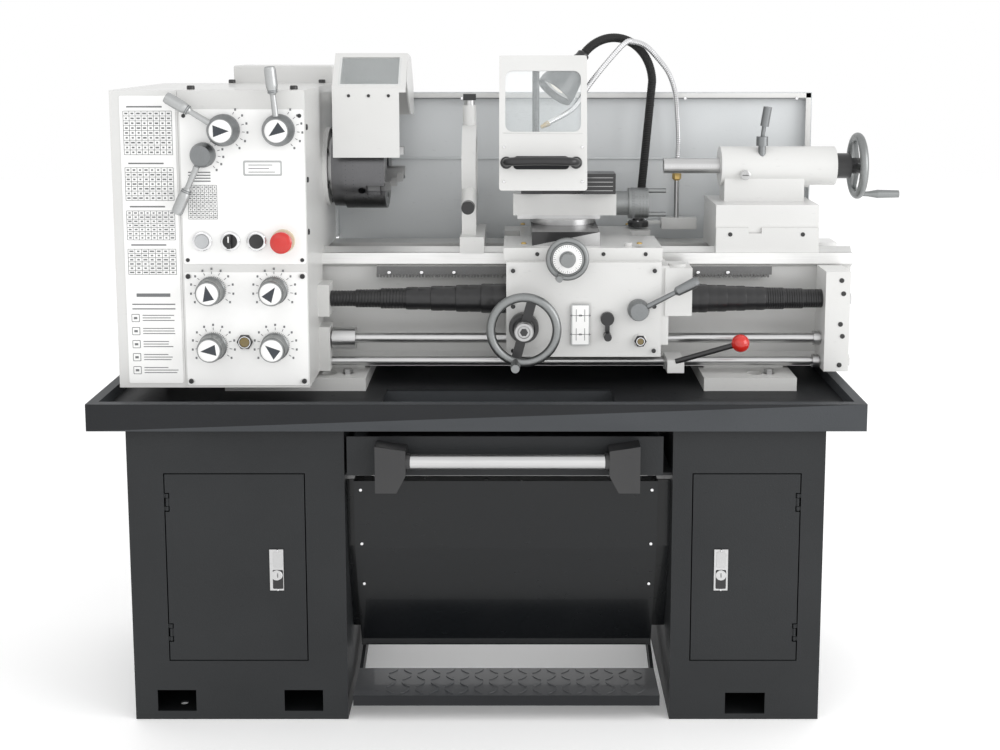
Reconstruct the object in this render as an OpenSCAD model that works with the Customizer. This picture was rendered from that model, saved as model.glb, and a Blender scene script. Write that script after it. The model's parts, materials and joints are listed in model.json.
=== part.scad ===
// Floor-standing metal-turning lathe on a two-cabinet stand.
// Millimetres. X runs along the bed, headstock to the left, Y runs away from the operator, Z is up.
// The origin lies on the floor, in the middle of the four anchor-bolt holes.

/* [Stand] */
// Width of the chip tray, left to right
tray_w = 1326; // [1300:2:1600]
// Depth of the chip tray, front to back
tray_d = 470; // [440:2:570]
// Height of the chip tray's sides
tray_h = 47; // [36:1:60]
// Height of the two cabinets under the tray
stand_h = 528; // [430:2:640]
// Width of the left cabinet
left_cab_w = 374; // [340:2:420]
// Width of the right cabinet
right_cab_w = 262; // [240:2:310]
// Thickness of the cabinet and tray sheet
sheet = 3; // [2:0.5:5]
// Radius of the floor anchor holes
anchor_r = 7; // [4:0.5:10]
// Thickness of the foot treadle's tread
tread_t = 4; // [3:0.5:8]

/* [Bed] */
// Width over the bed ways
bed_w = 187; // [180:1:210]
// Height of the ways above the tray floor
bed_h = 241; // [220:1:290]
// Height of the spindle axis above the ways
centre_h = 153; // [146:1:180]

/* [Headstock] */
// Height of the headstock above the ways
head_h = 306; // [290:1:370]
// Width of the headstock without its end cover
head_w = 215; // [205:1:260]
// Depth of the headstock, front to back
head_d = 373; // [340:1:400]
// Width of the change-gear end cover
cover_w = 115; // [100:1:140]
// Radius of the hole through the spindle
spindle_bore_r = 19; // [15:0.5:22]
// Radius of the three-jaw chuck
chuck_r = 80; // [60:1:92]
// Length of the chuck body
chuck_len = 98; // [80:1:110]
// Radius of the speed-change lever hubs
lever_hub_r = 27; // [20:0.5:29]
// Length of the speed-change levers
lever_len = 108; // [80:1:115]
// Radius of the feed-selector knobs
knob_r = 24; // [16:0.5:32]

/* [Carriage] */
// Length of the saddle along the bed
saddle_len = 283; // [270:1:300]
// Thickness of the saddle
saddle_t = 23; // [18:1:30]
// Height of the apron
apron_h = 165; // [150:1:185]
// Radius of the carriage handwheel
carriage_wheel_r = 66; // [50:1:75]
// Radius of the cross-slide handwheel
cross_wheel_r = 38; // [30:1:46]
// Width of the cross slide
cross_w = 122; // [100:1:140]
// Height of the top slide
top_slide_h = 40; // [32:1:44]

/* [Tailstock] */
// Radius of the tailstock quill
quill_r = 14.5; // [11:0.5:22]
// Radius of the tailstock barrel
barrel_r = 37; // [30:1:42]
// Radius of the tailstock handwheel
tail_wheel_r = 55; // [40:1:70]
// Radius of the leadscrew
leadscrew_r = 11; // [8:0.5:11.5]
// Radius of the plain feed rod
feed_rod_r = 9; // [6:0.5:11]

/* [Hidden] */
$fn = 64;

run_fit = 0.05;      // radial clearance of a shaft in its bearing
slide_fit = 0.05;    // clearance under a sliding face
seat = 0.3;          // clearance between curved or painted seats
white = [0.88, 0.87, 0.83];
slate = [0.27, 0.28, 0.29];
steel = [0.72, 0.73, 0.74];
black = [0.08, 0.08, 0.09];
iron = [0.42, 0.43, 0.44];
red = [0.75, 0.08, 0.06];

// Stand
tray_x = tray_w / 2;
tray_y = tray_d / 2;
rim_w = 18;
tray_top = stand_h + tray_h;
tray_floor = tray_top - 19;
cab_y = tray_y - 20;
left_cab_x = -tray_x + 61;
right_cab_x = tray_x - 64 - right_cab_w;
left_inner_x = left_cab_x + left_cab_w;
cab_top = stand_h - 5;
anchor_x = tray_x - 133;
anchor_y = cab_y - 55;
door_z0 = 110;
door_h = stand_h - 192;
left_door_x = left_cab_x + 64;
left_door_w = left_cab_w - 134;
right_door_x = right_cab_x + 36;
right_door_w = right_cab_w - 78;
door_gap = 2;
hinge_r = 3;
hinge_pin_r = 1.5;
hinge_y = -cab_y + 3;
pedal_pivot_y = cab_y - 75;
pedal_pivot_z = 118;
pedal_pivot_r = 8;
drawer_z0 = stand_h - 83;
drawer_z1 = stand_h - 14;
drawer_rail_w = 24;

// Heights and depths of the machine itself
axis_y = tray_y - 137;
ways_z = tray_floor + bed_h;
axis_z = ways_z + centre_h;
bed_front = axis_y - bed_w / 2;
bed_rear = axis_y + bed_w / 2;
bed_under = tray_floor + 28;

// Headstock
head_right = -tray_x + 373;
head_left = head_right - head_w;
head_rear = axis_y + 100;
head_front = head_rear - head_d;
head_top = ways_z + head_h;
lid_h = 23;
lid_z = head_top - lid_h;
gearbox_z0 = ways_z - 208;
cover_left = head_left - cover_w;
cover_gap = 0.5;
cover_t = 3;
cover_axis_y = head_rear + 6;
spindle_r = 30;
nose_x = head_right + 7.5;
nose_r = 74;
chuck_x = head_right + 16;
jaw_len = 31;
jaw_w = 20;
guard_x0 = head_right + 25;
guard_x1 = head_right + 158;
guard_pin_y = head_rear - 18;
guard_pin_z = head_top - 13;
guard_pin_r = 6;
lever_row_z = axis_z + 86;
lever_left_x = head_right - 137;
lever_right_x = head_right - 44;
range_x = head_right - 173;
range_z = axis_z + 44;
range_hub_r = 21;
button_z = ways_z + 49;
jog_x = head_right - 179;
switch_x = head_right - 131;
start_x = head_right - 86;
stop_x = head_right - 41;
button_r = 12;
knob_left_x = head_right - 165;
knob_right_x = head_right - 58;
knob_high_z = ways_z - 36;
knob_low_z = ways_z - 134;
lever_pin_r = 8;
knob_pin_r = 6;
shaft_depth = 22;
motor_y = axis_y - 40;
motor_z = stand_h - 190;
motor_r = 72;
belt_x = head_left - 70;
input_y = axis_y - 100;
input_z = axis_z - 90;

// Bed and rods
bed_left = head_left + 5;
bed_right = tray_x + 27;
span = bed_right - head_right;
rod_y = bed_front - 43;
screw_z = ways_z - 77;
feed_z = ways_z - 150;
control_z = ways_z - 193;
control_rod_r = 8;
bracket_x0 = bed_right - 66;
bracket_x1 = bed_right - 22;
bracket_front = rod_y - 34;
rod_left = head_right - 30;
foot_front = bed_front - 78;

// Carriage
saddle_x = head_right + 0.342 * span;
saddle_end = saddle_x + saddle_len;
saddle_z = ways_z + slide_fit;
saddle_top = saddle_z + saddle_t;
saddle_front = bed_front - 90;
apron_x0 = saddle_x + 5;
apron_x1 = saddle_x + 280;
apron_front = bed_front - 110;
apron_rear = bed_front - 8;
apron_z0 = saddle_z - 5 - apron_h;
dial_x0 = saddle_end + 4;
dial_x1 = saddle_end + 52;
wheel_x = saddle_x + 36;
wheel_z = ways_z - 114;
cross_x = saddle_x + 112;
cross_z0 = saddle_top + slide_fit;
cross_top = cross_z0 + 25;
cross_front = axis_y - 158;
cross_rear = axis_y + 88;
cross_wheel_z = saddle_top - 12;
cross_hub_r = 12;
hub_flange = 1.5; // flange radius of a handwheel over its hub radius
swivel_y = axis_y - 13;
swivel_r = cross_w / 2;
swivel_top = cross_top + slide_fit + 16;
top_z0 = swivel_top + slide_fit;
top_z1 = top_z0 + top_slide_h;
top_x0 = cross_x - 95;
top_x1 = cross_x + 98;
top_wheel_r = 29;
top_wheel_z = top_z0 + 19;
post_x = cross_x - 8;
post_pin_r = 9;
holder_w = 60;
half_nut_x = saddle_x + 239;
half_nut_z = ways_z - 84;
feed_lever_x = saddle_x + 184;
feed_lever_z = ways_z - 100;
start_hub_x0 = saddle_end + 10;
start_hub_x1 = saddle_end + 40;
shield_y = axis_y - 110;
shield_z = axis_z + 196;
shield_arm_x = cross_x - 90;
shield_post_x = cross_x - cross_w / 2 + 10;
shield_pin_r = 5;
shield_post_y = cross_rear - 10;
lamp_x = saddle_x + 262;
lamp_y = axis_y + 72;
lamp_base_r = 20;
hose_x = saddle_x + 339;
hose_y = axis_y + 92;
hose_block_x = saddle_x + 309;

// Tailstock and steady rest
tail_x = head_right + 0.759 * span;
tail_len = 217;
tail_base_x0 = tail_x - 17;
tail_base_x1 = tail_x + 173;
tail_base_z = ways_z + slide_fit;
tail_base_top = tail_base_z + 46;
tail_block_top = tail_base_top + 42;
quill_x0 = tail_x - 106;
quill_x1 = tail_x + 134;
tail_wheel_x = tail_x + tail_len + 45;
lock_x = tail_x + 76;
lock_y = axis_y - 24;
lock_z = axis_z + barrel_r - 4;
steady_x0 = head_right + 0.254 * span;
steady_x1 = steady_x0 + 42;
steady_r = 78;
splash_y = tray_y - 9;

// Solids placed by their two end values on each axis
module box(x0, x1, y0, y1, z0, z1)
    translate([x0, y0, z0])
        cube([x1 - x0, y1 - y0, z1 - z0]);

module x_rod(r, x0, x1, y, z)
    translate([x0, y, z])
        rotate([0, 90, 0])
            cylinder(r = r, h = x1 - x0);

module y_rod(r, y0, y1, x, z)
    translate([x, y1, z])
        rotate([90, 0, 0])
            cylinder(r = r, h = y1 - y0);

module z_rod(r, z0, z1, x, y)
    translate([x, y, z0])
        cylinder(r = r, h = z1 - z0);

// A shape drawn in Y and Z, drawn out along X
module along_x(x0, x1)
    translate([x0, 0, 0])
        rotate([90, 0, 90])
            linear_extrude(x1 - x0)
                children();

// A shape drawn in X and Z, drawn out along Y
module along_y(y0, y1)
    translate([0, y1, 0])
        rotate([90, 0, 0])
            linear_extrude(y1 - y0)
                children();

// A turned shape (radius, height) standing out towards the operator from the face at y
module turned_front(x, y, z)
    translate([x, y, z])
        rotate([90, 0, 0])
            rotate_extrude()
                children();

// Room over the vee ridge of the front bed way
module vee_clearance(x0, x1)
    along_x(x0, x1)
        polygon([[bed_front + 12, ways_z - 1], [bed_front + 25, ways_z + 11], [bed_front + 38, ways_z - 1]]);

// A straight bar from point a to point b
module bar(a, b, r) {
    d = b - a;
    len = norm(d);
    translate(a)
        rotate([0, acos(d[2] / len), atan2(d[1], d[0])])
            cylinder(r = r, h = len);
}

// A bent pipe through a list of points, with a slightly proud bead at each bend
module bent_pipe(points, r) {
    for (i = [0 : len(points) - 2])
        bar(points[i], points[i + 1], r);
    for (i = [1 : len(points) - 2])
        translate(points[i])
            sphere(r = r * 1.12, $fn = 32);
}

// ---------------------------------------------------------------- stand

module cabinet_shell(x0, x1) {
    difference() {
        box(x0, x1, -cab_y, cab_y, 0, cab_top);
        box(x0 + sheet, x1 - sheet, -cab_y + sheet, cab_y - sheet, sheet, cab_top - sheet);
    }
    box(x0 + 8, x1 - 8, -cab_y + 8, cab_y - 8, cab_top, stand_h);
}

module anchor_holes()
    for (sx = [-1, 1], sy = [-1, 1])
        z_rod(anchor_r, -1, sheet + 1, sx * anchor_x, sy * anchor_y);

// The two fixed lugs and the pin of one door hinge, joined to the frame on the side given
module hinge_fixed(x, z, side) {
    z_rod(hinge_pin_r, z - 15, z + 15, x, hinge_y);
    for (end = [-15, 8]) {
        z_rod(hinge_r, z + end, z + end + 7, x, hinge_y);
        box(min(x, x + side * 7), max(x, x + side * 7), hinge_y - 1.5, hinge_y + 1.5, z + end, z + end + 7);
    }
}

module door_hinge_heights()
    for (z = [door_z0 + 50, door_z0 + door_h - 50])
        children_at(z) children();

module children_at(z)
    translate([0, 0, z])
        children();

module door_opening(x0, w)
    box(x0 - door_gap, x0 + w + door_gap, -cab_y - 1, -cab_y + sheet + 1, door_z0 - door_gap,
        door_z0 + door_h + door_gap);

module drawer_rail(x0, x1)
    box(x0, x1, -cab_y + 14, 130, drawer_z0 - 5, drawer_z0 - seat);

module left_cabinet() color(slate) {
    difference() {
        cabinet_shell(left_cab_x, left_inner_x);
        door_opening(left_door_x, left_door_w);
        anchor_holes();
        for (x = [left_cab_x + 39, left_inner_x - 112])
            box(x, x + 68, -cab_y - 1, -cab_y + sheet + 1, 15, 54);
        x_rod(pedal_pivot_r + run_fit, left_inner_x - 2 * sheet, left_inner_x + 1, pedal_pivot_y, pedal_pivot_z);
        box(belt_x - 17, belt_x + 17, motor_y - 80, motor_y + 80, cab_top - 2 * sheet, stand_h + 1);
    }
    door_hinge_heights() hinge_fixed(left_door_x + 3, 0, -1);
    drawer_rail(left_inner_x - 1, left_inner_x + drawer_rail_w);
}

module right_cabinet() color(slate) {
    difference() {
        cabinet_shell(right_cab_x, right_cab_x + right_cab_w);
        door_opening(right_door_x, right_door_w);
        anchor_holes();
        box(right_cab_x + 98, right_cab_x + 168, -cab_y - 1, -cab_y + sheet + 1, 10, 49);
        x_rod(pedal_pivot_r + run_fit, right_cab_x - 1, right_cab_x + 2 * sheet, pedal_pivot_y, pedal_pivot_z);
    }
    door_hinge_heights() hinge_fixed(right_door_x + right_door_w - 3, 0, 1);
    drawer_rail(right_cab_x - drawer_rail_w, right_cab_x + 1);
}

// A flush door hung on the edge at x, opening to the front; side points from the hinge into the door
module door_leaf(x, w, side) {
    far = x + side * w;
    pin = x + side * 3;
    lock = far - side * 50;
    lip = 12;
    difference() {
        union() {
            box(min(x, far), max(x, far), -cab_y, -cab_y + sheet, door_z0, door_z0 + door_h);
            for (z = [door_z0, door_z0 + door_h - 2])
                box(min(x + side * 8, far), max(x + side * 8, far), -cab_y, -cab_y + lip, z, z + 2);
            box(min(far, far - side * 2), max(far, far - side * 2), -cab_y, -cab_y + lip, door_z0,
                door_z0 + door_h);
        }
        door_hinge_heights()
            box(min(x - side, x + side * 7.5), max(x - side, x + side * 7.5), -cab_y - 1, -cab_y + 12, -17, 17);
    }
    door_hinge_heights() difference() {
        union() {
            z_rod(hinge_r, -7, 7, pin, hinge_y);
            box(min(pin, x + side * 12), max(pin, x + side * 12), hinge_y - 1.5, hinge_y + 1.5, -7, 7);
        }
        z_rod(hinge_pin_r + run_fit, -8, 8, pin, hinge_y);
    }
    lock_z = door_z0 + door_h * 0.5;
    box(lock - 12, lock + 12, -cab_y - 2, -cab_y + 10, lock_z - 40, lock_z + 34);
    y_rod(9, -cab_y - 4, -cab_y, lock, lock_z - 12);
}

module left_door() color(slate)
    door_leaf(left_door_x, left_door_w, 1);

module right_door() color(slate)
    door_leaf(right_door_x + right_door_w, right_door_w, -1);

module chip_tray() color(slate) {
    difference() {
        box(-tray_x, tray_x, -tray_y, tray_y, stand_h, tray_top);
        box(-tray_x + rim_w, tray_x - rim_w, -tray_y + rim_w, tray_y - rim_w, tray_floor, tray_top + 1);
        difference() {
            box(-tray_x + sheet, tray_x - sheet, -tray_y + sheet, tray_y - sheet, stand_h - 1,
                tray_floor - sheet);
            for (x = [left_cab_x + 25, left_inner_x - 45, right_cab_x + 25, right_cab_x + right_cab_w - 45])
                box(x, x + 20, -cab_y + 20, cab_y - 20, stand_h - 2, tray_floor);
        }
        difference() {
            box(-tray_x + sheet, tray_x - sheet, -tray_y + sheet, tray_y - sheet, tray_floor - 2 * sheet,
                tray_top - sheet);
            box(-tray_x + rim_w - sheet, tray_x - rim_w + sheet, -tray_y + rim_w - sheet,
                tray_y - rim_w + sheet, stand_h, tray_top);
        }
        box(left_inner_x + 60, right_cab_x - 96, -tray_y + 36, bed_front - 68, tray_floor - 2 * sheet,
            tray_floor + 1);
        box(belt_x - 17, belt_x + 17, motor_y - 80, motor_y + 80, stand_h - 1, tray_floor + 1);
    }
    box(left_inner_x + 48, right_cab_x - 84, bed_front - 68, bed_front - 68 + sheet, drawer_z1 - 6, tray_floor - 1);
}

module handle_bracket(x, side)
    along_y(-cab_y - 44, -cab_y - 3)
        polygon([[x, drawer_z1 - 6], [x + side * 52, drawer_z1 - 14], [x + side * 52, drawer_z0 + 12],
            [x + side * 36, drawer_z0 - 18], [x, drawer_z0 - 18]]);

module chip_drawer() {
    x0 = left_inner_x + 5;
    x1 = right_cab_x - 17;
    handle_z = drawer_z1 - 36;
    color(slate) {
        box(x0, x1, -cab_y - 3, -cab_y, drawer_z0, drawer_z1);
        difference() {
            box(x0 + 8, x1 - 2, -cab_y - 1, 60, drawer_z0, drawer_z1 - 8);
            box(x0 + 10, x1 - 4, -cab_y, 58, drawer_z0 + 2, drawer_z1);
        }
    }
    color(black) {
        handle_bracket(x0 + 52, 1);
        handle_bracket(x1 - 43, -1);
    }
    color(steel)
        x_rod(12.5, x0 + 94, x1 - 85, -cab_y - 30, handle_z);
}

module knee_panel() color(slate) {
    x0 = left_inner_x + 14;
    x1 = right_cab_x - 24;
    top = stand_h - 98;
    crease = stand_h - 223;
    foot = 106;
    front = -cab_y + 12;
    knee = -cab_y + 22;
    back = -120;
    along_x(x0, x1)
        polygon([[front, top], [knee, crease], [back, foot], [back, foot - 12], [back + 26, foot - 12],
            [back + 26, foot - 9], [back + 3, foot - 9], [back + 3, foot + 1], [knee + 3, crease + 1],
            [front + 3, top - 3], [front + 30, top - 3], [front + 30, top]]);
    for (x = [[left_inner_x, x0 + 2], [x1 - 2, right_cab_x]])
        along_x(x[0], x[1])
            polygon([[front + 22, top - 4], [knee + 14, crease], [back + 4, foot + 24], [back + 7, foot + 24],
                [knee + 17, crease], [front + 25, top - 4]]);
    for (x = [x0, x1 - 2])
        along_x(x, x + 2)
            polygon([[front + 1, top - 1], [knee + 1, crease], [back + 2, foot], [back + 30, foot],
                [knee + 50, crease - 60], [knee + 50, top - 1]]);
}

module foot_pedal() color(slate) {
    x0 = left_inner_x + 10;
    x1 = right_cab_x - 18;
    front = -cab_y - 10;
    rear = -120;
    tread_z = 45;
    box(x0, x1, front, rear, tread_z, tread_z + tread_t);
    box(x0, x1, front, front + 3, tread_z - 15, tread_z + 1);
    box(x0, x1, rear - 3, rear, tread_z - 8, tread_z + 1);
    for (x = [x0, x1 - 6])
        along_x(x, x + 6)
            polygon([[front, tread_z - 15], [front, tread_z + 4], [rear, tread_z + 4],
                [pedal_pivot_y - 12, pedal_pivot_z + 12], [pedal_pivot_y + 12, pedal_pivot_z + 12],
                [pedal_pivot_y + 12, pedal_pivot_z - 12], [rear + 30, tread_z - 15]]);
    x_rod(pedal_pivot_r, left_inner_x - sheet - 4, right_cab_x + sheet + 4, pedal_pivot_y, pedal_pivot_z);
}

// ---------------------------------------------------------------- bed and rods

module rail_section(side, vee) {
    // side is +1 for the front rail and -1 for the rear one; outlines run inwards from the edge
    edge = axis_y - side * bed_w / 2;
    s = side;
    top = vee ? 9 : 0;
    polygon([[edge, ways_z - 20], [edge, ways_z], [edge + s * 14, ways_z], [edge + s * 25, ways_z + top],
        [edge + s * 36, ways_z], [edge + s * 58, ways_z], [edge + s * 58, ways_z - 20],
        [edge + s * 34, ways_z - 34], [edge + s * 34, bed_under + 30], [edge + s * 50, bed_under + 16],
        [edge + s * 50, bed_under], [edge, bed_under], [edge, bed_under + 14], [edge + s * 16, bed_under + 24],
        [edge + s * 16, ways_z - 28]]);
}

module rack(x0, x1) {
    pitch = 6;
    teeth = floor((x1 - x0) / pitch);
    box(x0, x1, bed_front - 4, bed_front + 18, ways_z - 40, ways_z - 24);
    for (i = [0 : teeth - 1])
        box(x0 + i * pitch, x0 + i * pitch + 3, bed_front - 4, bed_front + 8, ways_z - 45, ways_z - 39);
}

module bed() color(white) {
    along_x(bed_left, bed_right) rail_section(1, true);
    along_x(bed_left, bed_right) rail_section(-1, false);
    ribs = 7;
    pitch = (bed_right - bed_left - 24) / ribs;
    for (i = [0 : ribs])
        box(bed_left + i * pitch, bed_left + i * pitch + 24, bed_front + 20, bed_rear - 20, bed_under, ways_z - 30);
    for (x = [[head_right - 170, head_right + 85], [bed_right - 282, bed_right - 114]]) {
        difference() {
            box(x[0], x[1], foot_front, bed_rear, tray_floor, tray_floor + 24);
            z_rod(8, tray_floor - 1, tray_floor + 25, x[1] - 70, foot_front + 38);
            z_rod(14, tray_floor + 14, tray_floor + 25, x[1] - 70, foot_front + 38);
        }
        box(x[0] + 10, x[1] - 10, bed_front + 2, bed_rear - 2, tray_floor + 20, bed_under + 2);
    }
    rack(head_right + 100, saddle_x + 4);
    rack(saddle_end + 60, bed_right - 150);
}

module leadscrew() color(steel)
    x_rod(leadscrew_r, rod_left, bracket_x1 + 8, rod_y, screw_z);

module feed_rod() color(steel) {
    x_rod(feed_rod_r, rod_left, bracket_x1 + 4, rod_y, feed_z);
    x_rod(20, head_right + 23, head_right + 65, rod_y, feed_z);
    x_rod(13, bracket_x0 - 14, bracket_x0 - 3, rod_y, feed_z);
}

module control_rod() color(steel) {
    x_rod(control_rod_r, rod_left, bracket_x0 - 18, rod_y, control_z);
    x_rod(control_rod_r - 2, bracket_x0 - 19, bracket_x1, rod_y, control_z);
    x_rod(12, bracket_x0 - 14, bracket_x0 - 3, rod_y, control_z);
}

module rod_bores(extra, x0, x1) {
    x_rod(leadscrew_r + extra, x0, x1, rod_y, screw_z);
    x_rod(feed_rod_r + extra, x0, x1, rod_y, feed_z);
    x_rod(control_rod_r - 2 + extra, x0, x1, rod_y, control_z);
}

module rod_brackets() color(white) {
    difference() {
        box(bracket_x0, bracket_x1, bracket_front, bed_front, min(control_z - 12, bed_under + 10), ways_z - 22);
        rod_bores(run_fit, bracket_x0 - 1, bracket_x1 + 1);
    }
    difference() {
        box(head_right, head_right + 20, rod_y - 24, rod_y + 26, screw_z - 29, screw_z + 29);
        x_rod(leadscrew_r + run_fit, head_right - 1, head_right + 21, rod_y, screw_z);
    }
    difference() {
        box(head_right, head_right + 20, rod_y - 22, rod_y + 24, control_z - 14, feed_z + 24);
        x_rod(feed_rod_r + run_fit, head_right - 1, head_right + 21, rod_y, feed_z);
        x_rod(control_rod_r + run_fit, head_right - 1, head_right + 21, rod_y, control_z);
    }
}

// Telescopic leadscrew cover: a stack of tubes, each wider than the one before
module screw_cover(x_thin, x_wide, r_thin, r_wide, steps) {
    step = (x_wide - x_thin) / steps;
    for (i = [0 : steps - 1]) {
        a = x_thin + i * step;
        b = a + step * (i < steps - 1 ? 1.05 : 1);
        r = r_thin + (r_wide - r_thin) * i / (steps - 1);
        difference() {
            x_rod(r, min(a, b), max(a, b), rod_y, screw_z);
            x_rod(leadscrew_r + 1, min(a, b) - 1, max(a, b) + 1, rod_y, screw_z);
        }
    }
}

module screw_cover_left() color(black)
    screw_cover(head_right + 20, apron_x0, 14.5, 27, 7);

module screw_cover_right() color(black)
    screw_cover(bracket_x0, dial_x1, 17, 26, 7);

// ---------------------------------------------------------------- headstock

module front_socket(r, x, z)
    y_rod(r, head_front - 1, head_front + shaft_depth + 1, x, z);

module bezel(x, r)
    difference() {
        y_rod(r + 4, head_front - 5, head_front + 1, x, button_z);
        y_rod(r + seat, head_front - 6, head_front + 2, x, button_z);
    }

module headstock() color(white) {
    wall = 16;
    difference() {
        union() {
            box(head_left, head_right, head_front, head_rear, ways_z, lid_z);
            x_rod(nose_r, head_right - 1, nose_x, axis_y, axis_z);
            x_rod(12, head_right - 1, guard_x0 - 1, guard_pin_y, guard_pin_z - lid_h);
        }
        difference() {
            box(head_left + wall, head_right - wall, head_front + 34, head_rear - wall, ways_z + wall, lid_z + 1);
            x_rod(48, head_left, head_left + 2 * wall, axis_y, axis_z);
            x_rod(56, head_right - 2 * wall, head_right, axis_y, axis_z);
        }
        x_rod(spindle_r + run_fit, head_left - 1, nose_x + 1, axis_y, axis_z);
        front_socket(lever_pin_r + run_fit, lever_left_x, lever_row_z);
        front_socket(lever_pin_r + run_fit, lever_right_x, lever_row_z);
        front_socket(lever_pin_r + run_fit, range_x, range_z);
        for (x = [jog_x, switch_x, start_x, stop_x])
            front_socket(button_r + seat, x, button_z);
        x_rod(12 + seat, head_left - 1, head_left + wall + 1, input_y, input_z);
        vee_clearance(head_left - 1, head_right + 1);
    }
    x_rod(guard_pin_r, guard_x0 - 2, guard_x0 + 8, guard_pin_y, guard_pin_z - lid_h);
    for (x = [jog_x, start_x, switch_x, stop_x])
        bezel(x, button_r);
}

module headstock_lid() color(white) {
    box(head_left, head_right, head_front, head_rear, lid_z, head_top);
    box(head_left + 17, head_right - 17, head_front + 35, head_rear - 17, lid_z - 8, lid_z);
    for (x = [head_left + 20, head_right - 20], y = [head_front + 16, head_rear - 16])
        z_rod(6, head_top, head_top + 6, x, y);
}

module feed_gearbox() color(white) {
    difference() {
        box(head_left, head_right, head_front, bed_front, gearbox_z0, ways_z);
        box(head_left + 16, head_right - 16, head_front + 30, bed_front - 16, gearbox_z0 + 14, ways_z - 16);
        for (x = [knob_left_x, knob_right_x], z = [knob_high_z, knob_low_z])
            front_socket(knob_pin_r + run_fit, x, z);
        x_rod(leadscrew_r + run_fit, rod_left - 1, head_right + 1, rod_y, screw_z);
        x_rod(feed_rod_r + run_fit, rod_left - 1, head_right + 1, rod_y, feed_z);
        x_rod(control_rod_r + run_fit, rod_left - 1, head_right + 1, rod_y, control_z);
        x_rod(10 + seat, head_left - 1, head_left + 17, input_y + 10, screw_z);
    }
    turned_front(knob_left_x + 55, head_front, knob_low_z + 8)
        polygon([[0, 0], [13, 0], [13, 3], [10, 6], [0, 6]]);
    for (x = [head_left + 12, head_right - 12], z = [gearbox_z0 + 12, ways_z - 12])
        y_rod(4, head_front - 3, head_front, x, z);
}

module end_cover() color(white) {
    x1 = head_left - cover_gap;
    difference() {
        box(cover_left, x1, head_front, head_rear, gearbox_z0, head_top);
        box(cover_left + cover_t, x1 + 1, head_front + cover_t, head_rear - cover_t, gearbox_z0 - 1,
            head_top - cover_t);
        x_rod(spindle_bore_r + 6, cover_left - 1, cover_left + cover_t + 1, axis_y, axis_z);
    }
    for (z = [gearbox_z0 + 90, head_top - 90])
        difference() {
            union() {
                z_rod(5, z - 20, z + 20, head_left - 4, cover_axis_y);
                box(head_left - 20, head_left - 4, head_rear - 1, head_rear + 3, z - 20, z + 20);
            }
            z_rod(2.5 + run_fit, z - 21, z + 21, head_left - 4, cover_axis_y);
        }
}

module pulley(r, x, y, z, w)
    difference() {
        x_rod(r, x, x + w, y, z);
        x_rod(12, x - 1, x + w + 1, y, z);
    }

module gear(r, x, y, z, bore) {
    teeth = round(r * 0.8);
    depth = 3;
    along_x(x, x + 14)
        translate([y, z])
            difference() {
                union() {
                    circle(r = r - depth);
                    for (i = [0 : teeth - 1])
                        rotate(i * 360 / teeth)
                            translate([r - 2 * depth, -1.5])
                                square([2 * depth, 3]);
                }
                circle(r = bore);
            }
}

module motor_drive() {
    motor_x0 = belt_x + 34;
    motor_x1 = left_inner_x - 40;
    color(iron) {
        x_rod(motor_r, motor_x0, motor_x1, motor_y, motor_z);
        for (i = [0 : 9])
            x_rod(motor_r + 5, motor_x0 + 22 + i * 16, motor_x0 + 27 + i * 16, motor_y, motor_z);
        x_rod(12, belt_x - 12, motor_x0 + 1, motor_y, motor_z);
        box(motor_x0 + 30, motor_x1 - 30, motor_y - 60, cab_y - sheet, motor_z - motor_r - 14,
            motor_z - motor_r + 8);
        box(motor_x0 + 30, motor_x1 - 30, cab_y - sheet - 8, cab_y - sheet, motor_z - motor_r - 14, motor_z + 90);
        x_rod(12, belt_x - 12, head_left + 40, input_y, input_z);
        x_rod(10, head_left - 50, head_left + 15, input_y + 10, screw_z);
    }
    color(steel) {
        pulley(36, belt_x - 10, motor_y, motor_z, 20);
        pulley(62, belt_x - 10, input_y, input_z, 20);
        gear(44, head_left - 30, axis_y - 90, axis_z - 215, 10 + seat);
    }
    drop = input_z - motor_z;
    tilt = atan2(input_y - motor_y, drop);
    color(black)
        difference() {
            along_x(belt_x - 8, belt_x + 8) {
                translate([motor_y, motor_z]) circle(r = 41);
                translate([input_y, input_z]) circle(r = 67);
                belt_strand_outline();
            }
            x_rod(36 + seat, belt_x - 9, belt_x + 9, motor_y, motor_z);
            x_rod(62 + seat, belt_x - 9, belt_x + 9, input_y, input_z);
            along_x(belt_x - 9, belt_x + 9) belt_inner_outline();
        }
}

// The straight runs of the belt, as the area between the two pulleys
module belt_area(r_low, r_high) {
    d = [input_y - motor_y, input_z - motor_z];
    len = norm(d);
    lean = asin((r_high - r_low) / len);
    base = atan2(d[1], d[0]);
    a = base + 90 + lean;
    b = base - 90 - lean;
    polygon([[motor_y + r_low * cos(a), motor_z + r_low * sin(a)],
        [motor_y + r_low * cos(b), motor_z + r_low * sin(b)],
        [input_y + r_high * cos(b), input_z + r_high * sin(b)],
        [input_y + r_high * cos(a), input_z + r_high * sin(a)]]);
}

module belt_strand_outline() belt_area(41, 67);
module belt_inner_outline() belt_area(36 + seat, 62 + seat);

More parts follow.
